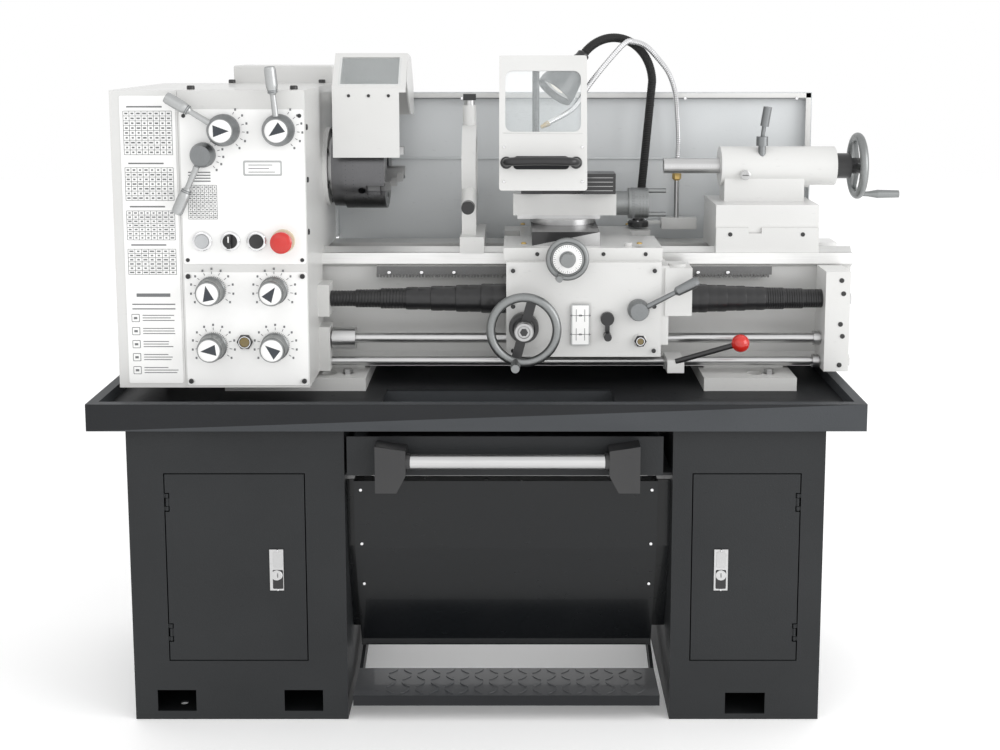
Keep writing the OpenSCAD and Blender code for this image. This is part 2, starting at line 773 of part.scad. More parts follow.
module electrical_box() color(white) {
    x0 = head_left + 20;
    box(x0, head_right - 2, head_rear, head_rear + 112, ways_z + 60, head_top + 34);
    difference() {
        x_rod(16, x0 - 22, x0 + 1, head_rear + 56, ways_z + 100);
        x_rod(9, x0 - 23, x0 - 2, head_rear + 56, ways_z + 100);
    }
    for (z = [gearbox_z0 + 90, head_top - 90])
        for (end = [-34, 20.5]) {
            z_rod(5, z + end, z + end + 13.5, head_left - 4, cover_axis_y);
            box(head_left - 4, x0 + 1, head_rear, head_rear + 5, z + end, z + end + 13.5);
        }
    z_rod(2.5, gearbox_z0 + 56, gearbox_z0 + 124, head_left - 4, cover_axis_y);
    z_rod(2.5, head_top - 124, head_top - 56, head_left - 4, cover_axis_y);
    box(x0, x0 + 12, head_rear, head_rear + 5, gearbox_z0 + 40, ways_z + 61);
}

module spindle() color(steel)
    difference() {
        union() {
            x_rod(spindle_r, head_left - 60, nose_x + 1, axis_y, axis_z);
            x_rod(58, nose_x + 0.4, chuck_x, axis_y, axis_z);
            x_rod(44, head_left - 44, head_left - 26, axis_y, axis_z);
            x_rod(52, head_left + 70, head_left + 95, axis_y, axis_z);
            x_rod(44, head_left + 110, head_left + 130, axis_y, axis_z);
        }
        x_rod(spindle_bore_r, head_left - 61, chuck_x + 1, axis_y, axis_z);
    }

jaw_angles = [90, 210, 330];

module at_jaw(i)
    translate([chuck_x + chuck_len, axis_y, axis_z])
        rotate([jaw_angles[i] - 90, 0, 0])
            children();

module jaw_slot()
    translate([-34, -jaw_w / 2 - seat, 10])
        cube([35, jaw_w + 2 * seat, chuck_r]);

module chuck_body() color(steel)
    difference() {
        union() {
            x_rod(chuck_r - 4, chuck_x, chuck_x + 22, axis_y, axis_z);
            x_rod(chuck_r, chuck_x + 22, chuck_x + chuck_len, axis_y, axis_z);
        }
        x_rod(spindle_bore_r + 1, chuck_x - 1, chuck_x + chuck_len + 1, axis_y, axis_z);
        for (i = [0 : 2]) {
            at_jaw(i) jaw_slot();
            translate([chuck_x + 56, axis_y, axis_z])
                rotate([jaw_angles[i] + 30, 0, 0])
                    translate([0, 0, chuck_r - 20])
                        cylinder(r = 7, h = 30);
        }
    }

module jaw(i) color(steel)
    at_jaw(i) {
        translate([-33.5, -jaw_w / 2, 22])
            cube([33.5, jaw_w, 46]);
        translate([-0.5, -jaw_w / 2, 22])
            cube([11, jaw_w, 44]);
        translate([10, -jaw_w / 2, 22])
            cube([11, jaw_w, 30]);
        translate([20, -jaw_w / 2, 22])
            cube([11, jaw_w, 15]);
    }

module chuck_jaw_1() jaw(0);
module chuck_jaw_2() jaw(1);
module chuck_jaw_3() jaw(2);

module chuck_guard() color(white) {
    front = axis_y - 112;
    low = axis_z + 25;
    brow = axis_z + 151;
    crown = axis_z + 213;
    rear = head_rear - 2;
    difference() {
        along_x(guard_x0, guard_x1)
            polygon([[front, low], [front, brow], [front + 60, crown], [rear - 70, crown - 8], [rear - 16, brow],
                [rear, axis_z + 92], [rear - 3, axis_z + 92], [rear - 19, brow], [rear - 72, crown - 11],
                [front + 62, crown - 3], [front + 3, brow - 1], [front + 3, low]]);
        translate([guard_x0 + 14, front + 8, brow + 6])
            rotate([46, 0, 0])
                translate([0, 0, -12])
                    cube([guard_x1 - guard_x0 - 28, 66, 24]);
        box(guard_x0 + 113 + 8, guard_x1 + 1, front - 1, front + 5, low - 1, brow - 8);
    }
    along_x(guard_x1 - 3, guard_x1)
        polygon([[front + 62, crown - 1], [rear - 71, crown - 9], [rear - 17, brow], [rear - 2, axis_z + 92],
            [front + 120, axis_z + 98], [front + 30, brow + 10]]);
    difference() {
        along_x(guard_x0, guard_x0 + 3)
            polygon([[front + 62, crown - 1], [rear - 71, crown - 9], [rear - 17, brow], [rear - 2, axis_z + 92],
                [guard_pin_y - 20, guard_pin_z - lid_h - 16], [front + 90, crown - 60]]);
        x_rod(guard_pin_r + run_fit, guard_x0 - 1, guard_x0 + 4, guard_pin_y, guard_pin_z - lid_h);
    }
}

// A lever: hub on a pin in the housing, thin rod and a thick round grip, pointing at `angle`
module lever(x, y_face, z, hub_r, hub_h, len, angle, pin_r, rod_off) {
    turned_front(x, y_face - seat, z)
        polygon([[0, 0], [hub_r, 0], [hub_r, hub_h * 0.45], [hub_r * 0.8, hub_h], [0, hub_h]]);
    y_rod(pin_r, y_face - seat - 1, y_face + shaft_depth - 2, x, z);
    translate([x, y_face - hub_h * 0.55, z])
        rotate([0, 90 - angle, 0])
            rotate([rod_off, 0, 0]) {
                cylinder(r1 = 5, r2 = 4.2, h = len * 0.62);
                translate([0, 0, len * 0.6])
                    rotate_extrude()
                        polygon([[0, 0], [4.5, 0], [8.5, 5], [9.5, len * 0.34], [7.5, len * 0.4], [0, len * 0.4]]);
            }
}

module speed_lever_left() color(slate)
    lever(lever_left_x, head_front, lever_row_z, lever_hub_r, 30, lever_len, 148, lever_pin_r, 4);

module speed_lever_right() color(slate)
    lever(lever_right_x, head_front, lever_row_z, lever_hub_r, 30, lever_len, 95, lever_pin_r, 4);

module range_lever() color(slate)
    lever(range_x, head_front, range_z, range_hub_r, 26, lever_len, 246, lever_pin_r, 4);

module feed_knob(x, z) color(steel) {
    turned_front(x, head_front - seat, z)
        polygon([[0, 0], [knob_r, 0], [knob_r, 10], [knob_r - 2, 12], [knob_r - 2, 34], [knob_r - 5, 38],
            [0, 38]]);
    y_rod(knob_pin_r, head_front - 1, head_front + shaft_depth - 2, x, z);
}

module feed_knob_1() feed_knob(knob_left_x, knob_high_z);
module feed_knob_2() feed_knob(knob_right_x, knob_high_z);
module feed_knob_3() feed_knob(knob_left_x, knob_low_z);
module feed_knob_4() feed_knob(knob_right_x, knob_low_z);

module push_button(x)
    turned_front(x, head_front + 8, button_z)
        polygon([[0, 0], [button_r, 0], [button_r, 17], [button_r - 1, 18], [0, 18]]);

module jog_button() color(white) push_button(jog_x);
module start_button() color(black) push_button(start_x);

module mode_switch() color(black) {
    turned_front(switch_x, head_front + 8, button_z)
        polygon([[0, 0], [button_r, 0], [button_r, 16], [0, 16]]);
    box(switch_x - 3, switch_x + 3, head_front - 20, head_front - 7, button_z - 11, button_z + 11);
}

module stop_button() color(red)
    turned_front(stop_x, head_front + 8, button_z)
        polygon([[0, 0], [button_r, 0], [button_r, 14], [8, 15], [8, 24], [18.5, 26], [18.5, 31], [14, 36],
            [0, 38]]);

module splash_guard() color(white) {
    x0 = head_right + 2;
    x1 = bed_right - 40;
    top = ways_z + 288;
    crease = ways_z + 158;
    along_x(x0, x1)
        polygon([[splash_y - 8, tray_top], [splash_y - 8, tray_top + 2], [splash_y, tray_top + 2],
            [splash_y, crease], [splash_y - 4, top - 2], [splash_y - 20, top - 2], [splash_y - 20, top],
            [splash_y - 2, top], [splash_y + 2, crease], [splash_y + 2, tray_top]]);
    along_x(x1 - 2, x1)
        polygon([[splash_y, tray_top], [splash_y - 20, crease - 60], [splash_y - 20, top - 1],
            [splash_y - 2, top - 1], [splash_y + 1, crease], [splash_y + 1, tray_top]]);
}

// ---------------------------------------------------------------- carriage

module saddle() color(white) {
    difference() {
        union() {
            box(saddle_x, saddle_end, saddle_front, bed_front + 62, saddle_z, saddle_top);
            box(saddle_x, saddle_end, bed_rear - 56, bed_rear + 8, saddle_z, saddle_top);
            box(saddle_x + 30, saddle_end - 40, saddle_front, bed_rear + 8, saddle_z, saddle_top);
        }
        vee_clearance(saddle_x - 1, saddle_end + 1);
        y_rod(6 + run_fit, saddle_front - 1, saddle_front + 31, cross_x, cross_wheel_z);
    }
    z_rod(7, saddle_top, saddle_top + 6, saddle_x + 224, saddle_front + 25);
}

module apron() {
    color(white) {
        difference() {
            union() {
                box(apron_x0, apron_x1, apron_front, apron_rear, apron_z0, saddle_z - 0.05);
                box(apron_x1 - 1, apron_x1 + 14, apron_front + 8, apron_rear - 6, apron_z0 + 20, saddle_z - 8);
                box(dial_x0, dial_x1, rod_y - 62, rod_y + 16, screw_z - 20, screw_z + 66);
                turned_front(half_nut_x + 3, apron_front, apron_z0 + 30)
                    polygon([[0, 0], [12, 0], [12, 2], [9, 5], [0, 5]]);
            }
            x_rod(leadscrew_r + 1.5, apron_x0 - 1, dial_x1 + 1, rod_y, screw_z);
            x_rod(feed_rod_r + 1, apron_x0 - 1, apron_x1 + 20, rod_y, feed_z);
            x_rod(control_rod_r + 1, apron_x0 - 1, apron_x1 + 20, rod_y, control_z);
            box(apron_x0 - 1, apron_x1 + 20, apron_rear - 24, apron_rear + 1, apron_z0 - 1, screw_z - 60);
            y_rod(8 + run_fit, apron_front - 1, apron_front + 32, wheel_x, wheel_z);
            y_rod(lever_pin_r + run_fit, apron_front - 1, apron_front + 23, half_nut_x, half_nut_z);
            y_rod(5 + run_fit, apron_front - 1, apron_front + 23, feed_lever_x, feed_lever_z);
            y_rod(cross_hub_r * hub_flange + 1, apron_front - 1, saddle_front + 1, cross_x, cross_wheel_z);
        }
        z_rod(16, screw_z + 65, screw_z + 70, (dial_x0 + dial_x1) / 2, rod_y - 30);
    }
}

// A two-spoke handwheel with a crank handle; angle gives the handle's place on the rim
module handwheel(x, y_face, z, r, rim, hub_r, hub_h, pin_r, pin_depth, angle, grip_r, grip_len) {
    translate([x, y_face - hub_h * 0.7, z])
        rotate([90, 0, 0]) {
            rotate_extrude()
                translate([r - rim, 0])
                    circle(r = rim, $fn = 32);
            for (side = [0, 180])
                rotate([0, 0, side + angle])
                    translate([0, -hub_r * 0.5, -rim * 0.5])
                        cube([r - rim, hub_r, rim]);
            rotate([0, 0, angle])
                translate([r - rim, 0, rim * 0.6])
                    rotate_extrude()
                        polygon([[0, 0], [grip_r * 0.6, 0], [grip_r * 0.7, grip_len * 0.15],
                            [grip_r, grip_len * 0.6], [grip_r * 0.8, grip_len], [0, grip_len]]);
        }
    turned_front(x, y_face - seat, z)
        polygon([[0, 0], [hub_r * hub_flange, 0], [hub_r * hub_flange, hub_h * 0.4], [hub_r, hub_h * 0.5],
            [hub_r, hub_h], [0, hub_h]]);
    y_rod(pin_r, y_face - 1, y_face + pin_depth, x, z);
}

module carriage_wheel() color(black)
    handwheel(wheel_x, apron_front, wheel_z, carriage_wheel_r, 8, 17, 50, 8, 30, 255, 9, 52);

module cross_wheel() color(black)
    handwheel(cross_x, saddle_front, cross_wheel_z, cross_wheel_r, 5, cross_hub_r, 72, 6, 30, 243, 7, 34);

module half_nut_lever() color(slate)
    lever(half_nut_x, apron_front, half_nut_z, 19, 26, 118, 28, lever_pin_r, 3);

module feed_lever() color(black) {
    y_rod(12, apron_front - 10, apron_front - seat, feed_lever_x, feed_lever_z);
    y_rod(5, apron_front - 2, apron_front + 20, feed_lever_x, feed_lever_z);
    box(feed_lever_x - 4, feed_lever_x + 4, apron_front - 10, apron_front - 3, feed_lever_z - 34, feed_lever_z);
    y_rod(7, apron_front - 24, apron_front - 3, feed_lever_x, feed_lever_z - 30);
}

module start_lever() {
    elbow = [start_hub_x0 + 15, rod_y - 58, control_z + 12];
    ball = [saddle_end + 137, rod_y - 78, control_z + 50];
    color(white)
        difference() {
            union() {
                x_rod(15, start_hub_x0, start_hub_x1, rod_y, control_z);
                box(start_hub_x0, start_hub_x1, rod_y - 62, rod_y, control_z - 8, control_z + 15);
            }
            x_rod(control_rod_r + run_fit, start_hub_x0 - 1, start_hub_x1 + 1, rod_y, control_z);
        }
    color(black)
        bar(elbow, ball, 5);
    color(red)
        translate(ball)
            sphere(r = 16);
}

// Work lamp on a gooseneck that rises from the saddle and curves over to the tool
module lamp() color(black) {
    neck_r = 8.5;
    bend_r = 87;
    turn = 140;
    swing = 27;
    start = [lamp_x + 24, lamp_y - 2, axis_z + 154];
    z_rod(lamp_base_r, saddle_top, saddle_top + 12, lamp_x, lamp_y);
    bar([lamp_x, lamp_y, saddle_top + 4], start, neck_r);
    translate(start) {
        sphere(r = neck_r + 3.5);
        rotate([0, 0, swing])
            translate([-bend_r, 0, 0]) {
                rotate([90, 0, 0])
                    rotate_extrude(angle = turn)
                        translate([bend_r, 0])
                            circle(r = neck_r);
                rotate([0, -turn, 0])
                    translate([bend_r, 0, -2])
                        rotate_extrude()
                            polygon([[0, 0], [12, 0], [14, 14], [24, 34], [37, 80], [37, 94], [34, 94],
                                [34, 84], [0, 78]]);
            }
    }
}

module coolant_pipe() color(white) {
    box(hose_block_x, hose_block_x + 70, hose_y - 8, hose_y + 14, saddle_top - 10, saddle_top + 13);
    box(saddle_end - 40, hose_block_x + 1, lamp_y + lamp_base_r + seat, hose_y + 14, saddle_top, saddle_top + 6);
    z_rod(5, saddle_top + 12, axis_z - 35, hose_x, hose_y);
    z_rod(9, axis_z - 36, axis_z - 12, hose_x, hose_y);
    bent_pipe([[hose_x, hose_y, axis_z - 13], [hose_x + 3, hose_y, axis_z + 38],
        [hose_x - 7, hose_y - 10, axis_z + 135], [hose_x - 46, hose_y - 36, axis_z + 204],
        [hose_x - 95, hose_y - 67, axis_z + 235], [hose_x - 118, hose_y - 80, axis_z + 228],
        [hose_x - 181, hose_y - 120, axis_z + 153], [hose_x - 211, hose_y - 140, axis_z + 111],
        [hose_x - 272, hose_y - 160, axis_z + 78]], 5);
}

module cross_slide() {
    color(steel)
        difference() {
            box(cross_x - cross_w / 2, cross_x + cross_w / 2, cross_front, cross_rear, cross_z0, cross_top);
            z_rod(14 + run_fit, cross_top - 12, cross_top + 1, cross_x, swivel_y);
        }
    color(black) {
        z_rod(7, cross_top, shield_z - 8, shield_post_x, shield_post_y);
        z_rod(10, cross_top, cross_top + 12, shield_post_x, shield_post_y);
        box(shield_arm_x - 7, shield_post_x + 8, shield_post_y - 8, shield_post_y + 8, shield_z - 12, shield_z + 2);
        box(shield_arm_x - 7, shield_arm_x + 7, shield_y + 8, shield_post_y, shield_z - 12, shield_z + 2);
    }
    color(steel)
        x_rod(shield_pin_r, shield_arm_x - 22, shield_arm_x + 22, shield_y + 14, shield_z - 5);
}

module swivel_base() color(steel) {
    z_rod(swivel_r, cross_top + slide_fit, cross_top + slide_fit + 10, cross_x, swivel_y);
    z_rod(14, cross_top - 11, cross_top + 1, cross_x, swivel_y);
    box(top_x0 + 8, top_x1 - 30, swivel_y - 34, swivel_y + 34, cross_top + slide_fit + 9, swivel_top);
}

module top_slide() color(steel)
    difference() {
        union() {
            box(top_x0, top_x1, swivel_y - 36, swivel_y + 36, top_z0, top_z1);
            z_rod(post_pin_r, top_z1 - 1, top_z1 + 78, post_x, swivel_y);
        }
        x_rod(6 + run_fit, top_x1 - 30, top_x1 + 1, swivel_y, top_wheel_z);
    }

module top_wheel() color(steel) {
    x = top_x1;
    x_rod(top_wheel_r - 6, x + seat, x + 26, swivel_y, top_wheel_z);
    x_rod(top_wheel_r, x + 25, x + 62, swivel_y, top_wheel_z);
    x_rod(6, x - 28, x + 1, swivel_y, top_wheel_z);
    for (z = [24, -21])
        x_rod(4.5, x + 61, x + 96, swivel_y - 3, top_wheel_z + z);
}

module tool_post() {
    z0 = top_z1 + slide_fit;
    color(black) {
        difference() {
            union() {
                box(post_x - 32, post_x + 32, swivel_y - 32, swivel_y + 32, z0, z0 + 64);
                box(post_x + 31.5, post_x + 44, swivel_y - 32, swivel_y + 20, z0 + 2, z0 + 50);
                box(post_x + 43, post_x + 103, swivel_y - 56, swivel_y - 4, z0 + 2, z0 + 40);
            }
            z_rod(post_pin_r + run_fit, z0 - 1, z0 + 65, post_x, swivel_y);
        }
        difference() {
            box(post_x - 72, post_x - 31.5, swivel_y - 46, swivel_y + 30, z0 + 2, z0 + 58);
            box(post_x - 62, post_x - 46, swivel_y - 47, swivel_y + 31, axis_z - 20, axis_z - 2);
        }
        for (y = [-34, -8, 18])
            z_rod(4, z0 + 56, z0 + 68, post_x - 54, swivel_y + y);
    }
    color(steel)
        box(post_x - 60, post_x - 48, swivel_y - 60, swivel_y + 52, axis_z - 20, axis_z - 6);
}

// The chip shield over the tool, hung from the cross slide's arm, with a window and a grab bar
module tool_guard() {
    x0 = cross_x - 120;
    x1 = cross_x + 38;
    h = 228;
    color(white)
        translate([0, shield_y + 14, shield_z - 5])
            rotate([-10, 0, 0])
                difference() {
                    union() {
                        box(x0, x1, -16, -12, -h, 16);
                        box(x0, shield_arm_x - 9, -13, 2, 13, 16);
                        box(shield_arm_x + 9, x1, -13, 2, 13, 16);
                    }
                    along_y(-17, -11)
                        polygon([[x0 + 22, -12], [x1 - 18, -12], [x1 - 10, -22], [x1 - 10, -112],
                            [x1 - 20, -122], [x0 + 20, -122], [x0 + 10, -112], [x0 + 10, -22]]);
                }
    color(black)
        translate([0, shield_y + 14, shield_z - 5])
            rotate([-10, 0, 0]) {
                for (x = [shield_arm_x - 20, shield_arm_x + 10])
                    difference() {
                        union() {
                            x_rod(9, x, x + 10, 0, 0);
                            box(x, x + 10, -13, 0, -9, 9);
                        }
                        x_rod(shield_pin_r + run_fit, x - 1, x + 11, 0, 0);
                    }
                box(x0 + 4, x1 - 30, -44, -36, -190, -162);
                for (x = [x0 + 4, x1 - 40])
                    box(x, x + 10, -38, -15, -188, -164);
            }
}

// ---------------------------------------------------------------- tailstock and steady rest

module tailstock_base() color(white)
    difference() {
        box(tail_base_x0, tail_base_x1, bed_front + 3, bed_rear - 14, tail_base_z, tail_base_top);
        vee_clearance(tail_base_x0 - 1, tail_base_x1 + 1);
        box(tail_base_x0 + 60, tail_base_x0 + 84, bed_front, bed_rear, tail_base_top - 10, tail_base_top + 1);
    }

module tailstock_body() color(white)
    difference() {
        union() {
            x_rod(barrel_r, tail_x, tail_x + tail_len, axis_y, axis_z);
            box(tail_x + 6, tail_x + 156, axis_y - 30, axis_y + 30, tail_block_top - 1, axis_z - 10);
            box(tail_base_x0, tail_base_x1, bed_front + 8, bed_rear - 20, tail_base_top, tail_block_top);
            box(tail_base_x0 + 60.3, tail_base_x0 + 83.7, bed_front + 8, bed_rear - 20, tail_base_top - 9.7,
                tail_base_top + 1);
            y_rod(9, axis_y - barrel_r - 6, axis_y, tail_x + 43, axis_z - 14);
        }
        x_rod(quill_r + run_fit, tail_x - 1, tail_x + tail_len - 12, axis_y, axis_z);
        x_rod(7 + run_fit, tail_x + tail_len - 13, tail_x + tail_len + 1, axis_y, axis_z);
        z_rod(7 + run_fit, lock_z - 14, lock_z + 30, lock_x, lock_y);
    }

module quill() color(steel)
    difference() {
        x_rod(quill_r, quill_x0, quill_x1, axis_y, axis_z);
        translate([quill_x0 - 0.01, axis_y, axis_z])
            rotate([0, 90, 0])
                cylinder(r1 = 9, r2 = 7.6, h = 60);
    }

module tailstock_wheel() {
    back = tail_x + tail_len;
    color(steel) {
        x_rod(24, back + seat, back + 30, axis_y, axis_z);
        x_rod(7, back - 11, back + 1, axis_y, axis_z);
        translate([tail_wheel_x, axis_y, axis_z])
            rotate([0, 90, 0]) {
                rotate_extrude()
                    translate([tail_wheel_r, 0])
                        circle(r = 8, $fn = 32);
                for (a = [30, 150, 270])
                    rotate([0, 0, a])
                        translate([0, -6, -4])
                            cube([tail_wheel_r, 12, 8]);
            }
        x_rod(15, back + 29, tail_wheel_x + 12, axis_y, axis_z);
    }
    color(black)
        translate([tail_wheel_x + 4, axis_y - 8, axis_z - tail_wheel_r + 2])
            rotate([0, 90, 0])
                rotate_extrude()
                    polygon([[0, 0], [4, 0], [5, 16], [8, 34], [7, 74], [0, 76]]);
}

module quill_lock() color(black) {
    z_rod(11, lock_z + 7, lock_z + 24, lock_x, lock_y);
    z_rod(7, lock_z - 12, lock_z + 8, lock_x, lock_y);
    bar([lock_x, lock_y, lock_z + 18], [lock_x + 4, lock_y - 4, lock_z + 60], 4);
    bar([lock_x + 3, lock_y - 3, lock_z + 44], [lock_x + 8, lock_y - 6, lock_z + 80], 8);
}

module steady_rest() {
    mid = (steady_x0 + steady_x1) / 2;
    fingers = [0, 125, 235];
    color(white)
        difference() {
            union() {
                x_rod(steady_r, steady_x0 + 8, steady_x1 - 8, axis_y, axis_z);
                box(steady_x0 + 5, steady_x1 + 8, bed_front - 6, bed_rear - 8, ways_z + slide_fit, ways_z + 30);
                box(steady_x0 + 8, steady_x1 - 8, axis_y - 66, axis_y + 66, ways_z + 29, axis_z - 38);
                for (a = fingers)
                    translate([mid, axis_y, axis_z])
                        rotate([a, 0, 0])
                            translate([0, 0, steady_r - 20])
                                cylinder(r = 13, h = 57);
            }
            x_rod(52, steady_x0 - 1, steady_x1 + 1, axis_y, axis_z);
            vee_clearance(steady_x0, steady_x1 + 9);
        }
    color(steel)
        for (a = fingers)
            translate([mid, axis_y, axis_z])
                rotate([a, 0, 0]) {
                    translate([0, 0, 18])
                        cylinder(r = 8, h = 62);
                    translate([0, 0, steady_r + 37])
                        cylinder(r = 10, h = 9);
                }
    color(black) {
        translate([mid, axis_y, axis_z + steady_r + 46])
            translate([-12, -3, 0])
                cube([24, 6, 12]);
        y_rod(12, bed_front - 30, bed_front - 5, mid, ways_z + 87);
        y_rod(5, bed_front - 6, bed_front + 38, mid, ways_z + 87);
    }
}

left_cabinet();
right_cabinet();
left_door();
right_door();
chip_tray();
chip_drawer();
knee_panel();
foot_pedal();
bed();
leadscrew();
feed_rod();
control_rod();
rod_brackets();
screw_cover_left();
screw_cover_right();
headstock();
headstock_lid();
feed_gearbox();
end_cover();
motor_drive();
electrical_box();
spindle();
chuck_body();
chuck_jaw_1();
chuck_jaw_2();
chuck_jaw_3();
chuck_guard();
speed_lever_left();
speed_lever_right();
range_lever();
feed_knob_1();
feed_knob_2();
feed_knob_3();
feed_knob_4();
jog_button();
mode_switch();
start_button();
stop_button();
splash_guard();
saddle();
apron();
carriage_wheel();
cross_wheel();
half_nut_lever();
feed_lever();
start_lever();
lamp();
coolant_pipe();
cross_slide();
swivel_base();
top_slide();
top_wheel();
tool_post();
tool_guard();
tailstock_base();
tailstock_body();
quill();
tailstock_wheel();
quill_lock();
steady_rest();
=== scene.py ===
"""Looks for the metal lathe: enamel, ground steel, labels, gooseneck hoses, dials and screws."""
import json
import math
import random

import bmesh
import bpy
from mathutils import Matrix, Vector


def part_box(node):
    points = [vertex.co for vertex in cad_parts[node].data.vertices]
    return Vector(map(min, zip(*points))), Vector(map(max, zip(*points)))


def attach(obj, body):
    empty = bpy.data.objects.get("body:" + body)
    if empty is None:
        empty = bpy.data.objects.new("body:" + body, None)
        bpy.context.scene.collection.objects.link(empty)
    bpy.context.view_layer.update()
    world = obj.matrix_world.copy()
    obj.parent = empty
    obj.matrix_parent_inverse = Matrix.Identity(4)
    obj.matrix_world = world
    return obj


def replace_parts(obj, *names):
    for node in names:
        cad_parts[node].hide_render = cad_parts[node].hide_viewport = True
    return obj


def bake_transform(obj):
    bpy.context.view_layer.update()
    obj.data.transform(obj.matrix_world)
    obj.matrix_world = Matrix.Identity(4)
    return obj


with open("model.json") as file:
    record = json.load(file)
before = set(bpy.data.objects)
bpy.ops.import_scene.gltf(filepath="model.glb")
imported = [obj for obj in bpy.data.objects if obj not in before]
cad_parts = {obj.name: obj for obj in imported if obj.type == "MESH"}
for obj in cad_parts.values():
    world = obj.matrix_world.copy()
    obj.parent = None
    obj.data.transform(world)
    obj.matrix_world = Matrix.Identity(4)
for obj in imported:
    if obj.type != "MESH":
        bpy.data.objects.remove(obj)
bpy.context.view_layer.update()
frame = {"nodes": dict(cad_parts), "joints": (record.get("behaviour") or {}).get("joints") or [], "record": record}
MM = 0.001
LEVER_LENGTH = 108
LEVER_TILT = 4
random.seed(7)


# ------------------------------------------------------------------ shader arithmetic

class Value:
    """A shader socket that takes part in ordinary arithmetic."""

    def __init__(self, look, socket):
        self.look = look
        self.socket = socket

    def _maths(self, kind, first, second=None):
        values = [first] if second is None else [first, second]
        return self.look.node("ShaderNodeMath", {"operation": kind}, dict(enumerate(values)))

    def __add__(self, other):
        return self._maths("ADD", self, other)

    def __radd__(self, other):
        return self._maths("ADD", other, self)

    def __sub__(self, other):
        return self._maths("SUBTRACT", self, other)

    def __rsub__(self, other):
        return self._maths("SUBTRACT", other, self)

    def __mul__(self, other):
        return self._maths("MULTIPLY", self, other)

    def __rmul__(self, other):
        return self._maths("MULTIPLY", other, self)

    def __truediv__(self, other):
        return self._maths("DIVIDE", self, other)

    def clamp(self):
        return self._maths("MAXIMUM", self._maths("MINIMUM", self, 1.0), 0.0)


class Look:
    """One procedural material, built from nodes."""

    def __init__(self, name):
        self.material = bpy.data.materials.new(name)
        self.material.use_nodes = True
        self.tree = self.material.node_tree
        self.shader = self.tree.nodes["Principled BSDF"]

    def node(self, kind, settings=None, sockets=None, output=0):
        made = self.tree.nodes.new(kind)
        for key, value in (settings or {}).items():
            setattr(made, key, value)
        for key, value in (sockets or {}).items():
            self.feed(made.inputs[key], value)
        return Value(self, made.outputs[output])

    def feed(self, target, value):
        if isinstance(value, Value):
            self.tree.links.new(value.socket, target)
        elif hasattr(value, "__len__") and len(target.default_value) == 4 and len(value) == 3:
            target.default_value = (*value, 1)
        else:
            target.default_value = value

    def set(self, **values):
        for key, value in values.items():
            self.feed(self.shader.inputs[key.replace("_", " ")], value)
        return self

    def place(self, stretch=(1, 1, 1)):
        where = self.node("ShaderNodeTexCoord", output=3)
        return self.node("ShaderNodeVectorMath", {"operation": "MULTIPLY"}, {0: where, 1: stretch})

    def noise(self, scale, detail=3.0, stretch=(1, 1, 1), rough=0.5):
        sockets = {"Vector": self.place(stretch), "Scale": scale, "Detail": detail, "Roughness": rough}
        return self.node("ShaderNodeTexNoise", {}, sockets)

    def mix(self, factor, low, high):
        """Colour mix."""
        return self.node("ShaderNodeMix", {"data_type": "RGBA"}, {0: factor, 6: low, 7: high}, output=2)

    def bump(self, height, strength, distance):
        sockets = {"Height": height, "Strength": strength, "Distance": distance}
        self.feed(self.shader.inputs["Normal"], self.node("ShaderNodeBump", {}, sockets))


def sharpen(value, low, high):
    """Stretches the span low..high of a noise to 0..1."""
    return ((value - low) / (high - low)).clamp()


def enamel(name, colour, grime, grain, rough, bump, coat=0.25, shine=0.5):
    """Sprayed machine enamel with orange peel, faint clouding and a few scuffs."""
    look = Look(name)
    cloud = sharpen(look.noise(5, 4), 0.35, 0.75)
    scuff = sharpen(look.noise(60, 6, (1, 1, 3)), 0.66, 0.74)
    fleck = look.noise(grain, 2)
    shade = look.mix(cloud * 0.45, colour, grime)
    shade = look.mix(scuff * 0.22, shade, [c * 0.7 for c in colour])
    look.set(Base_Color=shade, Roughness=rough + cloud * 0.08 + scuff * 0.12, Coat_Weight=coat)
    look.set(Specular_IOR_Level=shine)
    look.bump(fleck, bump, 0.0006)
    return look.material


def metal(name, colour, rough, stretch, scale=40, streak=0.12, bump=0.08):
    """Ground or turned metal; stretch draws the grain out along one way."""
    look = Look(name)
    grain = look.noise(scale, 5, stretch)
    stain = sharpen(look.noise(7, 4), 0.45, 0.8)
    dark = [c * 0.72 for c in colour]
    shade = look.mix(grain * 0.5 + stain * 0.35, colour, dark)
    look.set(Base_Color=shade, Roughness=rough + grain * streak + stain * 0.08, Metallic=1.0)
    look.bump(grain, bump, 0.0004)
    return look.material


def moulded(name, colour, rough, scale=500, bump=0.12, coat=0.0):
    """Moulded plastic or rubber with a fine grain and handling marks."""
    look = Look(name)
    grain = look.noise(scale, 2)
    wear = sharpen(look.noise(14, 5), 0.5, 0.75)
    shade = look.mix(wear * 0.3, colour, [min(1, c * 1.5 + 0.015) for c in colour])
    look.set(Base_Color=shade, Roughness=rough + wear * 0.1 + grain * 0.04, Coat_Weight=coat)
    look.bump(grain, bump, 0.0003)
    return look.material


def pane(name, colour, alpha):
    """Clear guard window with a haze of fine scratches."""
    look = Look(name)
    scratch = sharpen(look.noise(90, 6, (1, 6, 1)), 0.55, 0.75)
    look.set(Base_Color=look.mix(scratch * 0.3, colour, (0.9, 0.9, 0.9)), Alpha=alpha + scratch * 0.08,
             Roughness=0.06 + scratch * 0.2)
    return look.material


def glow(name, colour, strength):
    """Frosted bulb."""
    look = Look(name)
    frost = look.noise(120, 3)
    look.set(Base_Color=look.mix(frost * 0.3, colour, (0.8, 0.8, 0.75)), Roughness=0.5 + frost * 0.1,
             Emission_Color=colour, Emission_Strength=strength)
    return look.material


